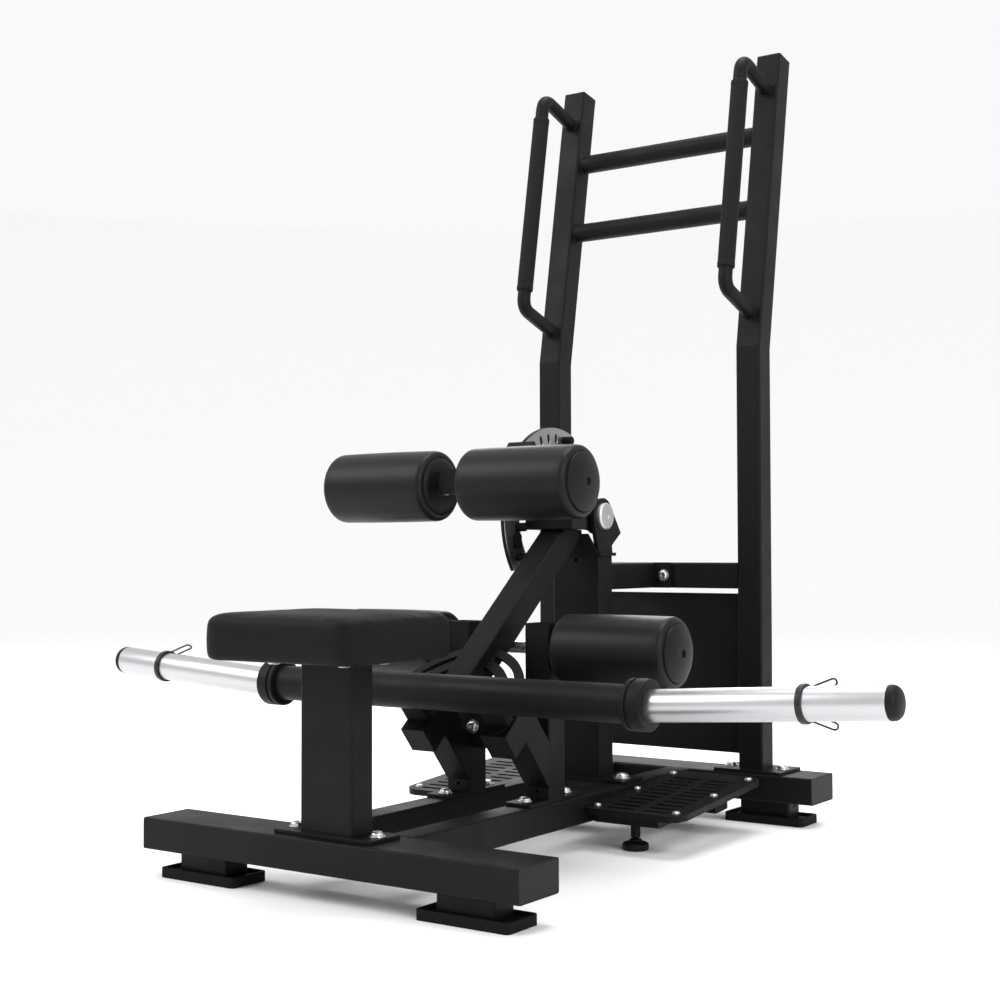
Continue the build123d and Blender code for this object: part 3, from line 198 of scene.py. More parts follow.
def pad_net(low, high, corner, foot_roll, top_roll, bulge, crown, around=160):
    """A stuffed pad from low to high. Seen from above, direction d = (cos t, sin t) meets a straight
    side at a / |cos t| or b / |sin t|, or a corner arc about k at k.d + sqrt(corner^2 - k.k + (k.d)^2).
    Rows run from the middle underneath, round the foot, up the bulging side and over the top roll,
    and then shrink to the middle while the height rises by crown * (1 - s * s)."""
    centre = (np.array(low) + np.array(high)) / 2
    a, b = (high[0] - low[0]) / 2, (high[1] - low[1]) / 2
    t = np.linspace(0, 2 * pi, around, endpoint=False)
    c, s = np.maximum(np.abs(np.cos(t)), 1e-9), np.maximum(np.abs(np.sin(t)), 1e-9)
    ka, kb = a - corner, b - corner
    kd = ka * c + kb * s
    arc = kd + np.sqrt(np.maximum(corner ** 2 - ka ** 2 - kb ** 2 + kd ** 2, 0))
    reach = np.where(a / c * s <= kb, a / c, np.where(b / s * c <= ka, b / s, arc))
    flat_rows, roll_rows, side_rows = 15, 9, 6
    q = np.linspace(0, pi / 2, roll_rows)
    side = np.linspace(0, 1, side_rows + 2)[1:-1]
    face = np.linspace(1, 0, flat_rows + 1)
    edge_z = high[2] - crown
    span = edge_z - low[2] - foot_roll - top_roll
    inset = np.concatenate([np.full(flat_rows, foot_roll), foot_roll * (1 - np.sin(q)),
                            -bulge * np.sin(pi * side), top_roll * (1 - np.cos(q)),
                            np.full(flat_rows, top_roll)])
    height = np.concatenate([np.full(flat_rows, low[2]), low[2] + foot_roll * (1 - np.cos(q)),
                             low[2] + foot_roll + span * side, edge_z - top_roll * (1 - np.sin(q)),
                             edge_z + crown * (1 - face[1:] ** 2)])
    scale = np.concatenate([face[:0:-1], np.ones(2 * roll_rows + side_rows), face[1:]])
    ring = (reach[None, :] - bulge - inset[:, None]) * scale[:, None]
    return np.stack([centre[0] + ring * np.cos(t), centre[1] + ring * np.sin(t),
                     np.repeat(height[:, None], around, 1)], axis=-1)


def stuff(piece, voxel, pressure, most):
    """Fills a pad: voxel remesh, then cloth blown up from inside for twenty frames, and each
    point's movement d cut down to most * tanh(|d| / most) along d."""
    remesh = piece.modifiers.new("even net", "REMESH")
    remesh.mode, remesh.voxel_size = "VOXEL", voxel
    graph = bpy.context.evaluated_depsgraph_get()
    piece.data = bpy.data.meshes.new_from_object(piece.evaluated_get(graph))
    piece.modifiers.clear()
    still = np.zeros(len(piece.data.vertices) * 3, np.float32)
    piece.data.vertices.foreach_get("co", still)
    cloth = piece.modifiers.new("stuffing", "CLOTH")
    cloth.settings.use_pressure = True
    cloth.settings.uniform_pressure_force = pressure
    cloth.settings.effector_weights.gravity = 0
    for number in range(1, 21):
        bpy.context.scene.frame_set(number)
    blown = piece.evaluated_get(bpy.context.evaluated_depsgraph_get()).data
    moved = np.zeros_like(still)
    blown.vertices.foreach_get("co", moved)
    piece.modifiers.clear()
    bpy.context.scene.frame_set(1)
    move = (moved - still).reshape(-1, 3)
    size = np.maximum(np.linalg.norm(move, axis=1, keepdims=True), 1e-9)
    return still.reshape(-1, 3) + move / size * most * np.tanh(size / most)


seat_low, seat_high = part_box("seat_pad")
pad_corner, pad_foot_roll, pad_top_roll = 0.034, 0.009, 0.016
pad_bulge, pad_crown, pad_swell = 0.001, 0.004, 0.001
net = pad_net(seat_low + Vector((pad_swell, pad_swell, 0)), seat_high - Vector([pad_swell] * 3),
              pad_corner, pad_foot_roll, pad_top_roll, pad_bulge, pad_crown)
seat_pad = show("seat_cushion", [net], "frame", leatherette, "black_leatherette", "seat_pad", sharp_deg=80)
stuffed = stuff(seat_pad, voxel=0.005, pressure=4.0, most=0.003)
stuffed[:, 2] = np.clip(stuffed[:, 2], seat_low.z, seat_high.z)
seat_pad.data.vertices.foreach_set("co", stuffed.astype(np.float32).ravel())
seat_pad.data.polygons.foreach_set("use_smooth", np.ones(len(seat_pad.data.polygons), bool))
round_off = seat_pad.modifiers.new("round off", "SUBSURF")
round_off.levels = round_off.render_levels = 1

# ---------------------------------------------------------------- rollers
# Four leg rollers: a thick foam sleeve with its own smooth black skin, pushed over a tube hub,
# and a moulded plastic cap at each end that sits just inside the foam's rounded lip.
skin_mm, dimple_mm = 1.1, 26.0
roller_skin, tree, shader, place = new_finish("foam roller skin", "#0B0B0C", 0.44, Specular_IOR_Level=0.2)
cells = add_node(tree, "ShaderNodeTexVoronoi", {"Vector": place, "Scale": per_metre(skin_mm)},
                 feature="SMOOTH_F1")
soft = add_node(tree, "ShaderNodeTexNoise", {"Vector": place, "Scale": per_metre(dimple_mm), "Detail": 1.0})
fine = add_node(tree, "ShaderNodeBump", {"Height": cells.outputs["Distance"], "Strength": 0.16,
                                         "Distance": 0.0002}, invert=True)
wave = add_node(tree, "ShaderNodeBump", {"Height": soft.outputs["Fac"], "Strength": 0.2,
                                         "Distance": 0.002, "Normal": fine.outputs["Normal"]})
tree.links.new(wave.outputs["Normal"], shader.inputs["Normal"])
dress("roller_skin", roller_skin)


def eased(points, cut, steps=6):
    """A polyline whose inner corners are rounded: each corner P becomes the curve
    (1 - t)^2 A + 2 t (1 - t) P + t^2 B, with A and B a distance cut before and after it."""
    points = np.array(points, float)
    cut = np.broadcast_to(cut, len(points) - 2)
    t = np.linspace(0, 1, steps)[:, None]
    out = [points[:1]]
    for k, (before, here, after) in enumerate(zip(points[:-2], points[1:-1], points[2:])):
        back, ahead = before - here, after - here
        a = here + back * min(0.48, cut[k] / np.linalg.norm(back))
        b = here + ahead * min(0.48, cut[k] / np.linalg.norm(ahead))
        out.append((1 - t) ** 2 * a + 2 * t * (1 - t) * here + t ** 2 * b)
    return np.vstack([*out, points[-1:]])


def turned(profile, start, axis, around=96, lobes=None):
    """A turned surface: profile point (along, r) at angle t lies at
    start + along * axis + r * lobes(t) * (cos t * side + sin t * up), all round the axis.
    lobes has a row for each profile point, or is left out for a plain round."""
    profile = np.array(profile, float)
    axis = Vector(axis).normalized()
    side = axis.orthogonal().normalized()
    up = axis.cross(side)
    axis, side, up = np.array(axis), np.array(side), np.array(up)
    t = np.linspace(0, 2 * pi, around, endpoint=False)
    spokes = np.cos(t)[:, None] * side + np.sin(t)[:, None] * up
    reach = np.repeat(profile[:, 1:2], around, 1) * (1 if lobes is None else lobes)
    return np.array(start) + profile[:, None, :1] * axis + reach[:, :, None] * spokes[None]


def middle(low, high):
    """The centre of a box."""
    return (Vector(low) + Vector(high)) / 2


cap_r, cap_dome, cap_hole, cap_hole_deep, cap_wall = 0.0480, 0.012, 0.0062, 0.0068, 0.0036
groove_w, cap_plug, inner_cap_h = 0.0022, 0.006, 0.0058
lip, barrel, foam_bore_r, axle_gap_r = 0.010, 0.0008, 0.0281, 0.011
for level in ("upper", "lower"):
    for side in ("left", "right"):
        body = f"{level}_{side}_roller"
        low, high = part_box(f"{body}_foam")
        centre, length, r = middle(low, high), high.x - low.x, (high.z - low.z) / 2
        outward = 1 if centre.x > 0 else -1
        start = (centre.x - outward * length / 2, centre.y, centre.z)
        along = np.linspace(lip, length - lip, 24)
        skin = np.stack([along, r - barrel + barrel * np.sin(pi * along / length)], axis=1)
        arc = np.linspace(0, pi / 2, 12)
        roll = np.stack([lip * (1 - np.sin(arc)), r - barrel - lip * (1 - np.cos(arc))], axis=1)
        seat_r = cap_r + groove_w
        near = np.vstack([[[cap_plug, seat_r], [0.002, seat_r], [0.0004, seat_r + 0.0010]],
                          roll[::-1][:-1]])
        far = near[::-1] * (-1, 1) + (length, 0)
        bore = [[length - cap_plug, foam_bore_r], [cap_plug, foam_bore_r]]
        outline = np.vstack([near, skin, far, bore])
        foam = show(f"{body}_sleeve", [(turned(outline, start, (outward, 0, 0), 128), True)], body,
                    roller_skin, "roller_skin", f"{body}_foam", sharp_deg=50)

        face = np.linspace(1, 0, 14)[:, None] ** 0.8
        mouth_r = cap_hole + 0.0008
        dome_r = mouth_r + (cap_r - 0.0014 - mouth_r) * face
        dome_h = cap_wall + (cap_dome - cap_wall - 0.0004) * (1 - face ** 2)
        hole_from = cap_dome - 0.0012
        outer = np.vstack([[[-cap_plug, 0.0], [-cap_plug, cap_r], [0.0022, cap_r], [0.0032, cap_r - 0.0005]],
                           np.hstack([dome_h, dome_r]),
                           [[hole_from, cap_hole], [hole_from - cap_hole_deep, cap_hole],
                            [hole_from - cap_hole_deep, 0.0]]])
        inner = eased([[-cap_plug, axle_gap_r], [-cap_plug, cap_r], [0.0, cap_r], [0.004, cap_r * 0.86],
                       [inner_cap_h, cap_r * 0.6], [inner_cap_h, axle_gap_r]], (0.0002, 0.0012, 0.003, 0.004))
        outer_start = (start[0] + outward * length, *start[1:])
        caps = [turned(outer, outer_start, (outward, 0, 0)),
                (turned(inner, start, (-outward, 0, 0)), True)]
        show(f"{body}_end_caps", caps, body, plastic, "black_plastic", f"{body}_caps")

# ---------------------------------------------------------------- rungs and hand rails
# Two round cross rungs are welded between the leaning uprights. A bent tube hand rail stands
# off the front of each upright, with a long pebbled rubber grip slid over its straight run.


def carried(route, radius, side, around=32, ring=False):
    """A round bar carried along a route: point i, angle t lies at
    P(i) + r(i) * (cos t * u(i) + sin t * w(i)), where u is side made square to the route's
    direction and w completes the frame. Open ends are closed by a flat disc."""
    route = np.array(route, float)
    step = np.roll(route, -1, 0) - np.roll(route, 1, 0) if ring else np.gradient(route, axis=0)
    step /= np.linalg.norm(step, axis=1, keepdims=True)
    u = np.array(side, float) - (step @ np.array(side, float))[:, None] * step
    u /= np.linalg.norm(u, axis=1, keepdims=True)
    w = np.cross(step, u)
    r = np.broadcast_to(radius, len(route)).astype(float)
    if not ring:
        route, u, w = (np.vstack([a[:1], a, a[-1:]]) for a in (route, u, w))
        r = np.concatenate([[0.0], r, [0.0]])
    t = np.linspace(0, 2 * pi, around, endpoint=False)
    spokes = u[:, None] * np.cos(t)[None, :, None] + w[:, None] * np.sin(t)[None, :, None]
    return route[:, None] + r[:, None, None] * spokes


rung_low, rung_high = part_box("rungs")
rung_r, into_wall = 0.019, 0.002
rung_bead_r, rail_bead_r, bead_ripple = 0.0022, 0.0020, 0.12
rung_length = rung_high.x - rung_low.x + 2 * into_wall
bars = []
for y, z in ((rung_low.y + rung_r, rung_low.z + rung_r), (rung_high.y - rung_r, rung_high.z - rung_r)):
    bars.append(turned([[0, 0], [0, rung_r], [rung_length, rung_r], [rung_length, 0]],
                       (rung_low.x - into_wall, y, z), (1, 0, 0), 64))
    for x in (rung_low.x, rung_high.x):
        t = np.linspace(0, 2 * pi, 64, endpoint=False)
        ripple = rung_bead_r * (1 + bead_ripple * np.sin(16 * t))
        bead = np.stack([np.full(64, x), y + rung_r * np.cos(t), z + rung_r * np.sin(t)], axis=1)
        bars.append((carried(bead, ripple, (1, 0, 0), 10, ring=True), True))
show("cross_rungs", bars, "frame", powder_coat, "black_powder_coat", "rungs")

# EPDM grip sleeve: dipped with a fine pebble, dull and slightly grey.
pebble_mm = 1.4
grip_rubber, tree, shader, place = new_finish("pebbled grip rubber", "#0E0E0E", 0.7, Specular_IOR_Level=0.18)
pebble = add_node(tree, "ShaderNodeTexVoronoi", {"Vector": place, "Scale": per_metre(pebble_mm)},
                  feature="SMOOTH_F1")
bump = add_node(tree, "ShaderNodeBump", {"Height": pebble.outputs["Distance"], "Strength": 0.35,
                                         "Distance": 0.0004}, invert=True)
tree.links.new(bump.outputs["Normal"], shader.inputs["Normal"])

hand_rail_r, hand_grip_r = 0.0135, 0.01675
hand_top, hand_bottom = (0.449, 1.464), (0.369, 1.012)
hand_root_top, hand_root_bottom = (0.576, 1.425), (0.501, 0.968)
hand_bend = (0.030, 0.024)
grip_from, grip_to = 1.048, 1.417
face_y, lean_from, lean = 0.466, 0.910, tan(radians(10.07))
collar_len, collar_step, collar_dip, grip_inner_r = 0.010, 0.004, 0.0009, hand_rail_r - 0.001


def face_at(start, end):
    """Where the line from start to end, both (y, z), meets the upright's leaning front face."""
    (y0, z0), (y1, z1) = start, end
    gap0, gap1 = (y - face_y - (z - lean_from) * lean for y, z in (start, end))
    share = gap0 / (gap0 - gap1)
    return y0 + share * (y1 - y0), z0 + share * (z1 - z0)


for side in ("left", "right"):
    low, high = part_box(f"{side}_handle")
    x = middle(low, high).x
    top_weld, bottom_weld = face_at(hand_top, hand_root_top), face_at(hand_bottom, hand_root_bottom)
    inside_top = np.array(top_weld) + 0.02 * (np.array(hand_root_top) - top_weld)
    inside_bottom = np.array(bottom_weld) + 0.04 * (np.array(hand_root_bottom) - bottom_weld)
    corners = [(x, *p) for p in (inside_top, hand_top, hand_bottom, inside_bottom)]
    route = eased(corners, hand_bend, 18)
    rail = [carried(route, hand_rail_r, (1, 0, 0), 40)]
    for weld, far in ((top_weld, hand_top), (bottom_weld, hand_bottom)):
        t = np.linspace(0, 2 * pi, 48, endpoint=False)
        slope = np.array((lean, 1.0)) / np.hypot(lean, 1.0)
        run = np.subtract(far, weld) / np.linalg.norm(np.subtract(far, weld))
        stretch = 1 / abs(run[0] * slope[1] - run[1] * slope[0])
        ellipse = np.stack([x + hand_rail_r * np.cos(t),
                            weld[0] + hand_rail_r * stretch * np.sin(t) * slope[0],
                            weld[1] + hand_rail_r * stretch * np.sin(t) * slope[1]], axis=1)
        ripple = rail_bead_r * (1 + bead_ripple * np.sin(12 * t))
        rail.append((carried(ellipse, ripple, (0, 1, 0), 10, ring=True), True))
    show(f"{side}_hand_rail", rail, "frame", powder_coat, "black_powder_coat", f"{side}_handle")

    direction = Vector((0, hand_top[0] - hand_bottom[0], hand_top[1] - hand_bottom[1]))
    share = (grip_from - hand_bottom[1]) / direction.z
    foot = Vector((x, *hand_bottom)) + direction * share
    grip_length = (grip_to - grip_from) / direction.z * direction.length
    near = np.array([[0, grip_inner_r], [0, hand_grip_r], [collar_len, hand_grip_r],
                     [collar_len + collar_step / 2, hand_grip_r - collar_dip],
                     [collar_len + collar_step, hand_grip_r - 0.0003]])
    far = near[::-1] * (-1, 1) + (grip_length, 0)
    sleeve = eased([*near, *far], (0.0018, 0.0008, 0.0006, 0.0008, 0.0008, 0.0006, 0.0008, 0.0018), 4)
    show(f"{side}_grip", [(turned(sleeve, foot, direction, 64), True)], "frame", grip_rubber,
         "black_rubber", "handle_grips")

# ---------------------------------------------------------------- pivot axle
# The weight arm and the pad arm swing on one turned steel shaft. Its two ends carry flat
# aluminium caps, turned on a lathe, so fine rings run round each face.
turning_mm = 0.8
low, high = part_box("main_axle")
pivot = middle(low, high)
turned_aluminium, tree, shader, place = new_finish("turned aluminium", "#C4C5C7", 0.42, Metallic=1.0)
centred = add_node(tree, "ShaderNodeMapping", {"Vector": place, "Location": tuple(-pivot)})
rings = add_node(tree, "ShaderNodeTexWave", {"Vector": centred.outputs["Vector"],
                                             "Scale": per_metre(turning_mm) / 20, "Distortion": 0.4},
                 wave_type="RINGS", rings_direction="X")
bump = add_node(tree, "ShaderNodeBump", {"Height": rings.outputs["Fac"], "Strength": 0.08,
                                         "Distance": 0.0001})
tree.links.new(bump.outputs["Normal"], shader.inputs["Normal"])
dress("axle_cap", turned_aluminium)

shaft_r, axle_cap_r, axle_cap_h = 0.0125, 0.025, 0.0100
cap_chamfer, cap_dish, dimple_r, dimple_deep = 0.0030, 0.0006, 0.0045, 0.0018
half = (high.x - low.x) / 2
cap_profile = [[half - axle_cap_h, axle_cap_r], [half - cap_chamfer, axle_cap_r],
               [half - cap_dish, axle_cap_r - cap_chamfer], [half, dimple_r * 1.7], [half, dimple_r],
               [half - dimple_deep, dimple_r * 0.8], [half - dimple_deep, 0.0]]
shaft = np.vstack([[[0, shaft_r], [half - axle_cap_h, shaft_r]],
                   eased(cap_profile, (0.0008, 0.0008, 0.0008, 0.0005, 0.0004), 5)])
whole = np.vstack([(shaft * (-1, 1))[::-1], shaft[1:]])
show("pivot_axle", [turned(whole, pivot, (1, 0, 0), 96)], "frame", turned_aluminium, "axle_cap", "main_axle")

# ---------------------------------------------------------------- crossbar and weight sleeves
# A thick round bar runs across under the sloping arm, with a turned flange at each end. Beyond
# it a bright turned steel sleeve takes the weight plates, closed by a moulded black plug.
lathe_mm = 1.2
bright_steel, tree, shader, place = new_finish("bright turned steel", "#BDBEC0", 0.27, Metallic=1.0)
stretched = add_node(tree, "ShaderNodeMapping", {"Vector": place, "Scale": (per_metre(lathe_mm), 1.0, 1.0)})
lines = add_node(tree, "ShaderNodeTexNoise", {"Vector": stretched.outputs["Vector"], "Scale": 1.0,
                                              "Detail": 3.0})
satin = add_node(tree, "ShaderNodeMapRange", {"Value": lines.outputs["Fac"], "From Min": 0.3, "From Max": 0.7,
                                              "To Min": 0.30, "To Max": 0.36})
tree.links.new(satin.outputs["Result"], shader.inputs["Roughness"])
dress("bright_sleeve", bright_steel)

bar_low, bar_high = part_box("crossbar")
bar = middle(bar_low, bar_high)
bar_half, bar_r = (bar_high.x - bar_low.x) / 2, (bar_high.z - bar_low.z) / 2
cylinder = [[-bar_half, 0], [-bar_half, bar_r], [bar_half, bar_r], [bar_half, 0]]
show("round_crossbar", [turned(cylinder, bar, (1, 0, 0), 96)], "weight_arm", powder_coat,
     "black_powder_coat", "crossbar")

flange_r, flange_len, groove_from, groove_to, groove_d = 0.040, 0.034, 0.008, 0.012, 0.003
sleeve_r, sleeve_end_x, sleeve_drop, sleeve_tilt, overlap = 0.025, 0.755, 0.0005, radians(3.77), 0.004
dome_len, dome_straight, dome_flat_r, dome_edge, plug_r = 0.017, 0.004, 0.012, 0.0012, sleeve_r - 0.003
for side, s in (("left", -1), ("right", 1)):
    outline = eased([[0, 0], [0, flange_r], [groove_from, flange_r], [groove_from, flange_r - groove_d],
                     [groove_to, flange_r - groove_d], [groove_to, flange_r], [flange_len, flange_r],
                     [flange_len, 0]], (0.003, 0.0012, 0.0008, 0.0008, 0.0012, 0.003), 5)
    root = (s * bar_half, bar.y, bar.z)
    show(f"{side}_bar_flange", [turned(outline, root, (s, 0, 0), 96)], "weight_arm", powder_coat,
         "black_powder_coat", "sleeve_collars")

    way = Vector((s * cos(sleeve_tilt), 0, sin(sleeve_tilt)))
    start = Vector((s * (bar_half + flange_len), bar.y, bar.z - sleeve_drop)) - way * overlap
    run = (sleeve_end_x - bar_half - flange_len) / cos(sleeve_tilt) + overlap
    tube = eased([[0, 0], [0, sleeve_r], [run, sleeve_r], [run, 0]], (0.0005, 0.0008), 4)
    show(f"{side}_weight_sleeve", [turned(tube, start, way, 128)], "weight_arm", bright_steel,
         "bright_sleeve", "weight_sleeves")

    arc = np.linspace(0, pi / 2, 14)
    dome_rise = dome_len - dome_straight - dome_edge
    dome = np.stack([dome_straight + dome_rise * np.sin(arc),
                     dome_flat_r + (sleeve_r - dome_flat_r) * np.cos(arc)], axis=1)
    plug = np.vstack([[[-overlap, 0.0], [-overlap, plug_r], [0.0002, plug_r], [0.0002, sleeve_r - 0.0004],
                       [0.0008, sleeve_r + 0.0002]], dome,
                      [[dome_len - 0.0008, dome_flat_r - dome_edge], [dome_len, 0.0]]])
    show(f"{side}_sleeve_dome", [turned(plug, start + way * run, way, 96)], "weight_arm", plastic,
         "black_plastic", "sleeve_end_caps")

# ---------------------------------------------------------------- spring collars
# A sprung steel band grips each sleeve. From it two wire loops run along the back of the sleeve
# and turn outwards, to be squeezed together by hand; the wire is black oxidised.
oxide_mm = 3.0
black_oxide, tree, shader, place = new_finish("black oxidised spring steel", "#1B1B1C", 0.42, Metallic=0.4)
oxide = add_node(tree, "ShaderNodeTexNoise", {"Vector": place, "Scale": per_metre(oxide_mm), "Detail": 3.0})
bump = add_node(tree, "ShaderNodeBump", {"Height": oxide.outputs["Fac"], "Strength": 0.1, "Distance": 0.0002})
tree.links.new(bump.outputs["Normal"], shader.inputs["Normal"])

band_r, band_w, band_gap, band_crown, wire_r = 0.029, 0.009, 0.0004, 0.0003, 0.0015
loop_w, loop_root_r, loop_tip_r, loop_root_x, loop_tip_x = 0.013, 0.0273, 0.047, 0.002, 0.034
for side, s, at, angles in (("left", -1, 0.650, (58, -30)), ("right", 1, 0.630, (38, -50))):
    way = Vector((s * cos(sleeve_tilt), 0, sin(sleeve_tilt)))
    hub = Vector((s * (bar_half + flange_len), bar.y, bar.z - sleeve_drop))
    hub += way * ((at - bar_half - flange_len) / cos(sleeve_tilt))
    to_right, back = way * s, Vector((0, 1, 0))
    upward = back.cross(to_right) * -1
    band = eased([[-band_w / 2, sleeve_r + band_gap], [-band_w / 2, band_r - band_crown], [0, band_r],
                  [band_w / 2, band_r - band_crown], [band_w / 2, sleeve_r + band_gap]],
                 (0.0012, 0.003, 0.0012), 5)
    wires = [(turned(band, hub, to_right, 96), True)]
    for deg in angles:
        out = back * cos(radians(deg)) + upward * sin(radians(deg))
        over = to_right.cross(out) * (loop_w / 2)
        root = hub + to_right * loop_root_x + out * loop_root_r
        tip = hub + to_right * loop_tip_x + out * loop_tip_r
        corners = [root + over, tip + over, tip - over, root - over]
        wires.append(carried(eased(corners, loop_w / 2 - 0.0002, 10), wire_r,
                             tuple(over.cross(tip - root)), 12))
    show(f"{side}_spring_clip", wires, f"{side}_spring_collar", black_oxide, "black_powder_coat",
         f"{side}_spring_collar")

# ---------------------------------------------------------------- index plate and pin
# The sector is cut from plate; its outer face is covered by a silver lacquered steel scale
# brushed in one direction, and the sprung pull pin has a fluted black knob.
brush_mm = 0.9
brushed_plate, tree, shader, place = new_finish("brushed lacquered steel", "#9A9B9D", 0.36, Metallic=1.0,
                                                Coat_Weight=0.3, Coat_Roughness=0.25)
drawn = add_node(tree, "ShaderNodeMapping",
                 {"Vector": place, "Scale": (1.0, per_metre(brush_mm) / 20, per_metre(brush_mm))})
lines = add_node(tree, "ShaderNodeTexNoise", {"Vector": drawn.outputs["Vector"], "Scale": 1.0, "Detail": 3.0})
bump = add_node(tree, "ShaderNodeBump", {"Height": lines.outputs["Fac"], "Strength": 0.1, "Distance": 0.0001})
tree.links.new(bump.outputs["Normal"], shader.inputs["Normal"])
dress("index_steel", brushed_plate)

bloom_mm = 2.5
zinc_steel, tree, shader, place = new_finish("bright zinc plated steel", "#C9CBCF", 0.28, Metallic=1.0)
bloom = add_node(tree, "ShaderNodeTexNoise", {"Vector": place, "Scale": per_metre(bloom_mm), "Detail": 2.0})
satin = add_node(tree, "ShaderNodeMapRange", {"Value": bloom.outputs["Fac"], "From Min": 0.3, "From Max": 0.7,
                                              "To Min": 0.22, "To Max": 0.36})
tree.links.new(satin.outputs["Result"], shader.inputs["Roughness"])
dress("bolt_steel", zinc_steel)

pin_low, pin_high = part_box("index_pin")
knob_len, knob_r, knob_flutes, pin_r = 0.019, 0.020, 8, 0.0045
pin_mid = middle(pin_low, pin_high)
knob_start = Vector((pin_low.x, pin_mid.y, pin_mid.z))
outline = eased([[0, 0], [0, knob_r * 0.7], [0.002, knob_r], [knob_len - 0.002, knob_r],
                 [knob_len, knob_r * 0.8], [knob_len, 0.0]], (0.002, 0.003, 0.003, 0.002), 6)
t = np.linspace(0, 2 * pi, 96, endpoint=False)
depth = np.clip(outline[:, 1:] / knob_r - 0.5, 0, 0.5) * 0.12
flutes = 1 - depth * (1 + np.cos(knob_flutes * t))[None, :]
pin_length = pin_high.x - pin_low.x
shank = eased([[knob_len - 0.001, 0], [knob_len - 0.001, pin_r], [pin_length, pin_r], [pin_length, 0]],
              (0.0002, 0.001), 4)
show("pull_knob", [turned(outline, knob_start, (1, 0, 0), 96, flutes)], "index_pin", plastic,
     "black_plastic", "index_pin")
show("pull_pin_shank", [turned(shank, knob_start, (1, 0, 0), 32)], "index_pin", zinc_steel, "bolt_steel")

# ---------------------------------------------------------------- bolts and screws
# The flanges are held by zinc plated button head bolts on washers, with a hexagon socket in
# each head; the foot plates by smaller pan head screws of the same steel.


def six_sided(rows, around=36):
    """The hexagon cos 30 deg / cos((t mod 60 deg) - 30 deg) as lobes, the same for that many rows."""
    t = np.linspace(0, 2 * pi, around, endpoint=False)
    return np.tile(cos(pi / 6) / np.cos(np.mod(t, pi / 3) - pi / 6), (rows, 1))


def button_bolt(spot, axis, washer_r, washer_h, head_r, head_h, socket_r):
    """A washer and a domed head: a turned profile whose last rows, the socket's walls and floor,
    are six sided instead of round."""
    arc = np.linspace(0, pi / 2, 7)
    rim = socket_r * 1.25
    dome = np.stack([washer_h + head_h * (0.25 + 0.75 * np.sin(arc)),
                     rim + (head_r - rim) * np.cos(arc)], axis=1)
    top = washer_h + head_h
    rows = np.vstack([[[0, washer_r - 0.0003], [washer_h * 0.5, washer_r], [washer_h, washer_r - 0.0003],
                       [washer_h, head_r]], dome, [[top - 0.0003, socket_r], [top - head_h * 0.6, socket_r],
                                                   [top - head_h * 0.6, 0]]])
    lobes = np.vstack([np.ones((len(rows) - 3, 36)), six_sided(3)])
    return turned(rows, spot, axis, 36, lobes)


flange_t = 0.006
flange_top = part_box("front_base_beam")[1].z + flange_t
seat_y, support_y, post_y, upright_y = -0.475, -0.030, 0.228, 0.495
bolt_size = (0.0125, 0.0016, 0.010, 0.0062, 0.0042)
big_bolt_size = tuple(1.25 * v for v in bolt_size)
up, down, front = (0, 0, 1), (0, 0, -1), (0, -1, 0)
bolts = []
for s in (-1, 1):
    bolts.append(button_bolt((s * 0.0779, seat_y, flange_top), up, *bolt_size))
    bolts.append(button_bolt((s * 0.082, post_y, flange_top), up, *big_bolt_size))
    bolts.append(button_bolt((s * 0.045, face_y - flange_t, 0.468), front, *bolt_size))
    bolts.append(button_bolt((s * 0.049, -0.057, 0.213), front, *bolt_size))
    for k in (-1, 1):
        bolts.append(button_bolt((s * 0.082, support_y + k * 0.062, flange_top), up, *bolt_size))
        bolts.append(button_bolt((s * 0.227 + k * 0.0535, upright_y, flange_top), up, *bolt_size))
        bolts.append(button_bolt((s * 0.068, -0.493 + k * 0.045, seat_low.z), down, *bolt_size))
show("button_bolts", bolts, "frame", zinc_steel, "bolt_steel", "frame_bolts")

plate_low_y, plate_low_z, plate_tilt, plate_t = 0.056, 0.0718, radians(4.64), 0.004
nut_r, nut_h = 0.0050, 0.005
screw_size = (0.0074, 0.0006, 0.0064, 0.0034, 0.0026)
plate_normal = Vector((0, -sin(plate_tilt), cos(plate_tilt)))
screws = []
for x in (-0.2725, -0.1185, 0.1185, 0.2725):
    for y in (0.081, 0.221, 0.360):
        spot = Vector((x, y, plate_low_z + (y - plate_low_y) * tan(plate_tilt)))
        screws.append(button_bolt(spot, plate_normal, *screw_size))
        nut = [[0, 0], [0, nut_r], [nut_h, nut_r], [nut_h, 0]]
        screws.append(turned(nut, spot - plate_normal * plate_t, -plate_normal, 36, six_sided(4)))
show("plate_screws", screws, "frame", zinc_steel, "bolt_steel", "foot_plate_screws")

# ---------------------------------------------------------------- levelling feet
# Under each foot plate a threaded stud screws down on a wide moulded pad, which takes the
# weight of a person standing on the plate.
neck_h, neck_r, stud_r, thread_d, turns = 0.019, 0.0105, 0.0057, 0.0003, 26
for side in ("left", "right"):
    low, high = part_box(f"{side}_levelling_foot")
    centre, r, tall = middle(low, high), (high.x - low.x) / 2, high.z - low.z
    pad = eased([[0, 0], [0, r - 0.002], [0.002, r], [0.011, r], [0.014, r - 0.005],
                 [0.0155, neck_r + 0.0005], [neck_h, neck_r], [neck_h, stud_r + thread_d]],
                (0.001, 0.001, 0.002, 0.002, 0.003, 0.001), 5)
    climb = np.linspace(neck_h, tall, turns * 2)
    thread = np.stack([climb, stud_r + thread_d * np.where(np.arange(turns * 2) % 2, 1, -1)], axis=1)
    outline = np.vstack([pad, thread, [[tall, 0]]])
    show(f"{side}_levelling_pad", [turned(outline, (centre.x, centre.y, low.z), (0, 0, 1), 64)],
         f"{side}_levelling_foot", plastic, slot_of[f"{side}_levelling_foot"], f"{side}_levelling_foot")

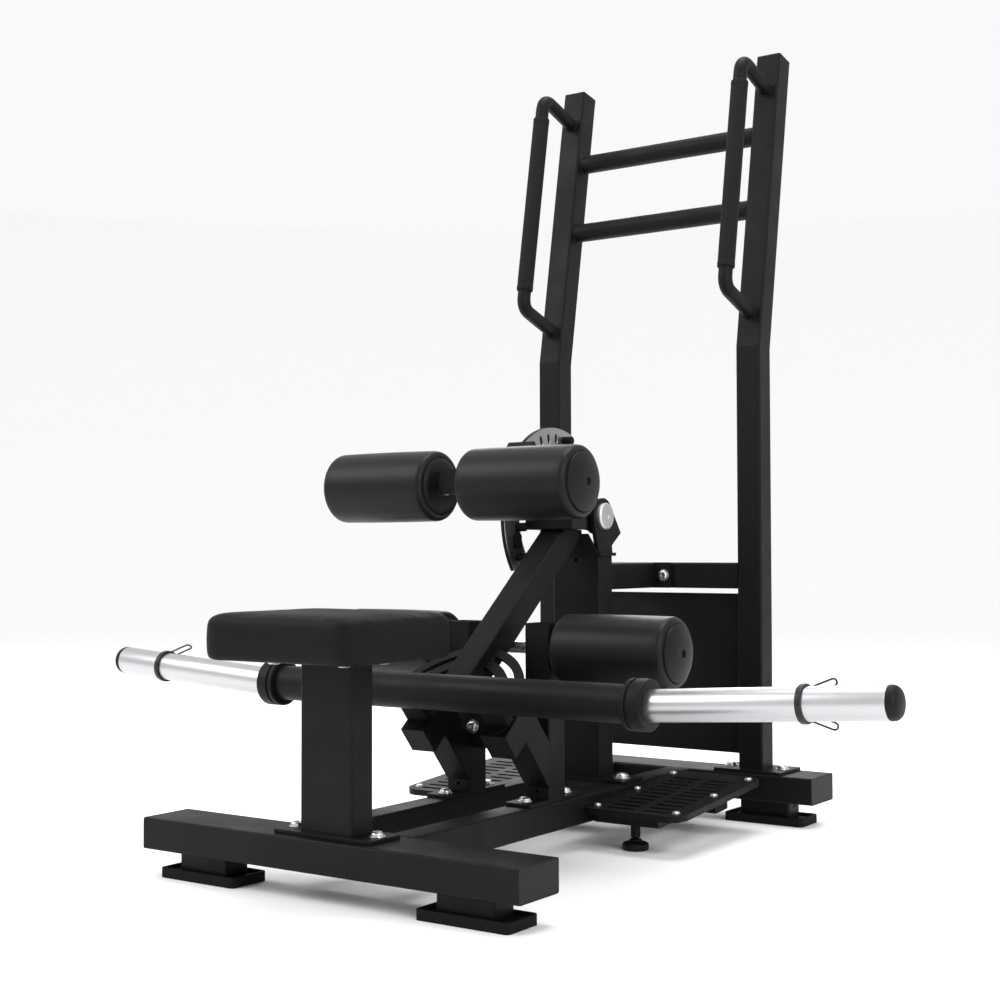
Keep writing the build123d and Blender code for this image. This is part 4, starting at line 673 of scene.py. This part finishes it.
# ---------------------------------------------------------------- studio
# A pale floor that curves up far away into the backdrop, even pale surroundings, large soft
# lights and the camera.
pale_floor, tree, shader, place = new_finish("pale floor", "#FAFAFA", 0.8)
floor_r, wall_from, wall_h = 14.0, 8.0, 4.0
out = np.concatenate([np.linspace(0, wall_from, 9), np.linspace(wall_from, floor_r, 16)[1:]])
lift = wall_h * np.clip((out - wall_from) / (floor_r - wall_from), 0, 1) ** 2
t = np.linspace(0, 2 * pi, 96, endpoint=False)
sweep = np.stack([out[:, None] * np.cos(t), out[:, None] * np.sin(t),
                  np.repeat(lift[:, None], 96, 1)], axis=-1)
mesh = bpy.data.meshes.new("floor")
index = np.arange(out.size * 96).reshape(out.size, 96)
index = np.hstack([index, index[:, :1]])
quads = np.stack([index[:-1, :-1], index[1:, :-1], index[1:, 1:], index[:-1, 1:]], axis=-1).reshape(-1, 4)
mesh.from_pydata(sweep.reshape(-1, 3).tolist(), [], quads.tolist())
mesh.polygons.foreach_set("use_smooth", np.ones(len(mesh.polygons), bool))
mesh.materials.append(pale_floor)
floor = bpy.data.objects.new("floor", mesh)
bpy.context.scene.collection.objects.link(floor)
floor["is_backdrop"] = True

world = bpy.data.worlds.new("studio")
bpy.context.scene.world = world
world.use_nodes = True
background = world.node_tree.nodes["Background"]
background.inputs["Color"].default_value = linear("#FFFFFF")
background.inputs["Strength"].default_value = 0.95


def softbox(name, place, target, size, power):
    """A square area light of that size, turned to face target."""
    light = bpy.data.lights.new(name, "AREA")
    light.size, light.energy = size, power
    lamp = bpy.data.objects.new(name, light)
    lamp.location = place
    lamp.rotation_euler = (Vector(target) - Vector(place)).to_track_quat("-Z", "Y").to_euler()
    bpy.context.scene.collection.objects.link(lamp)


aim = (0, 0, 0.6)
softbox("key softbox", (-2.6, -2.6, 3.2), aim, 2.0, 80)
softbox("fill softbox", (3.4, -1.6, 2.2), aim, 2.0, 60)
softbox("top softbox", (0.2, 0.4, 4.2), aim, 2.4, 90)
softbox("rim softbox", (-1.8, 3.4, 2.6), aim, 1.6, 50)

camera = bpy.data.objects.new("camera", bpy.data.cameras.new("camera"))
camera.data.sensor_width, camera.data.lens = 36.0, 55.513
camera.data.shift_x, camera.data.shift_y = -0.00114, 0.00087
camera.location = (1.512, -2.238, 0.517)
camera.rotation_euler = (radians(91.85), radians(0.12), radians(34.54))
bpy.context.scene.collection.objects.link(camera)
bpy.context.scene.camera = camera
bpy.context.scene.view_settings.view_transform = "Standard"

low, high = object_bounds()
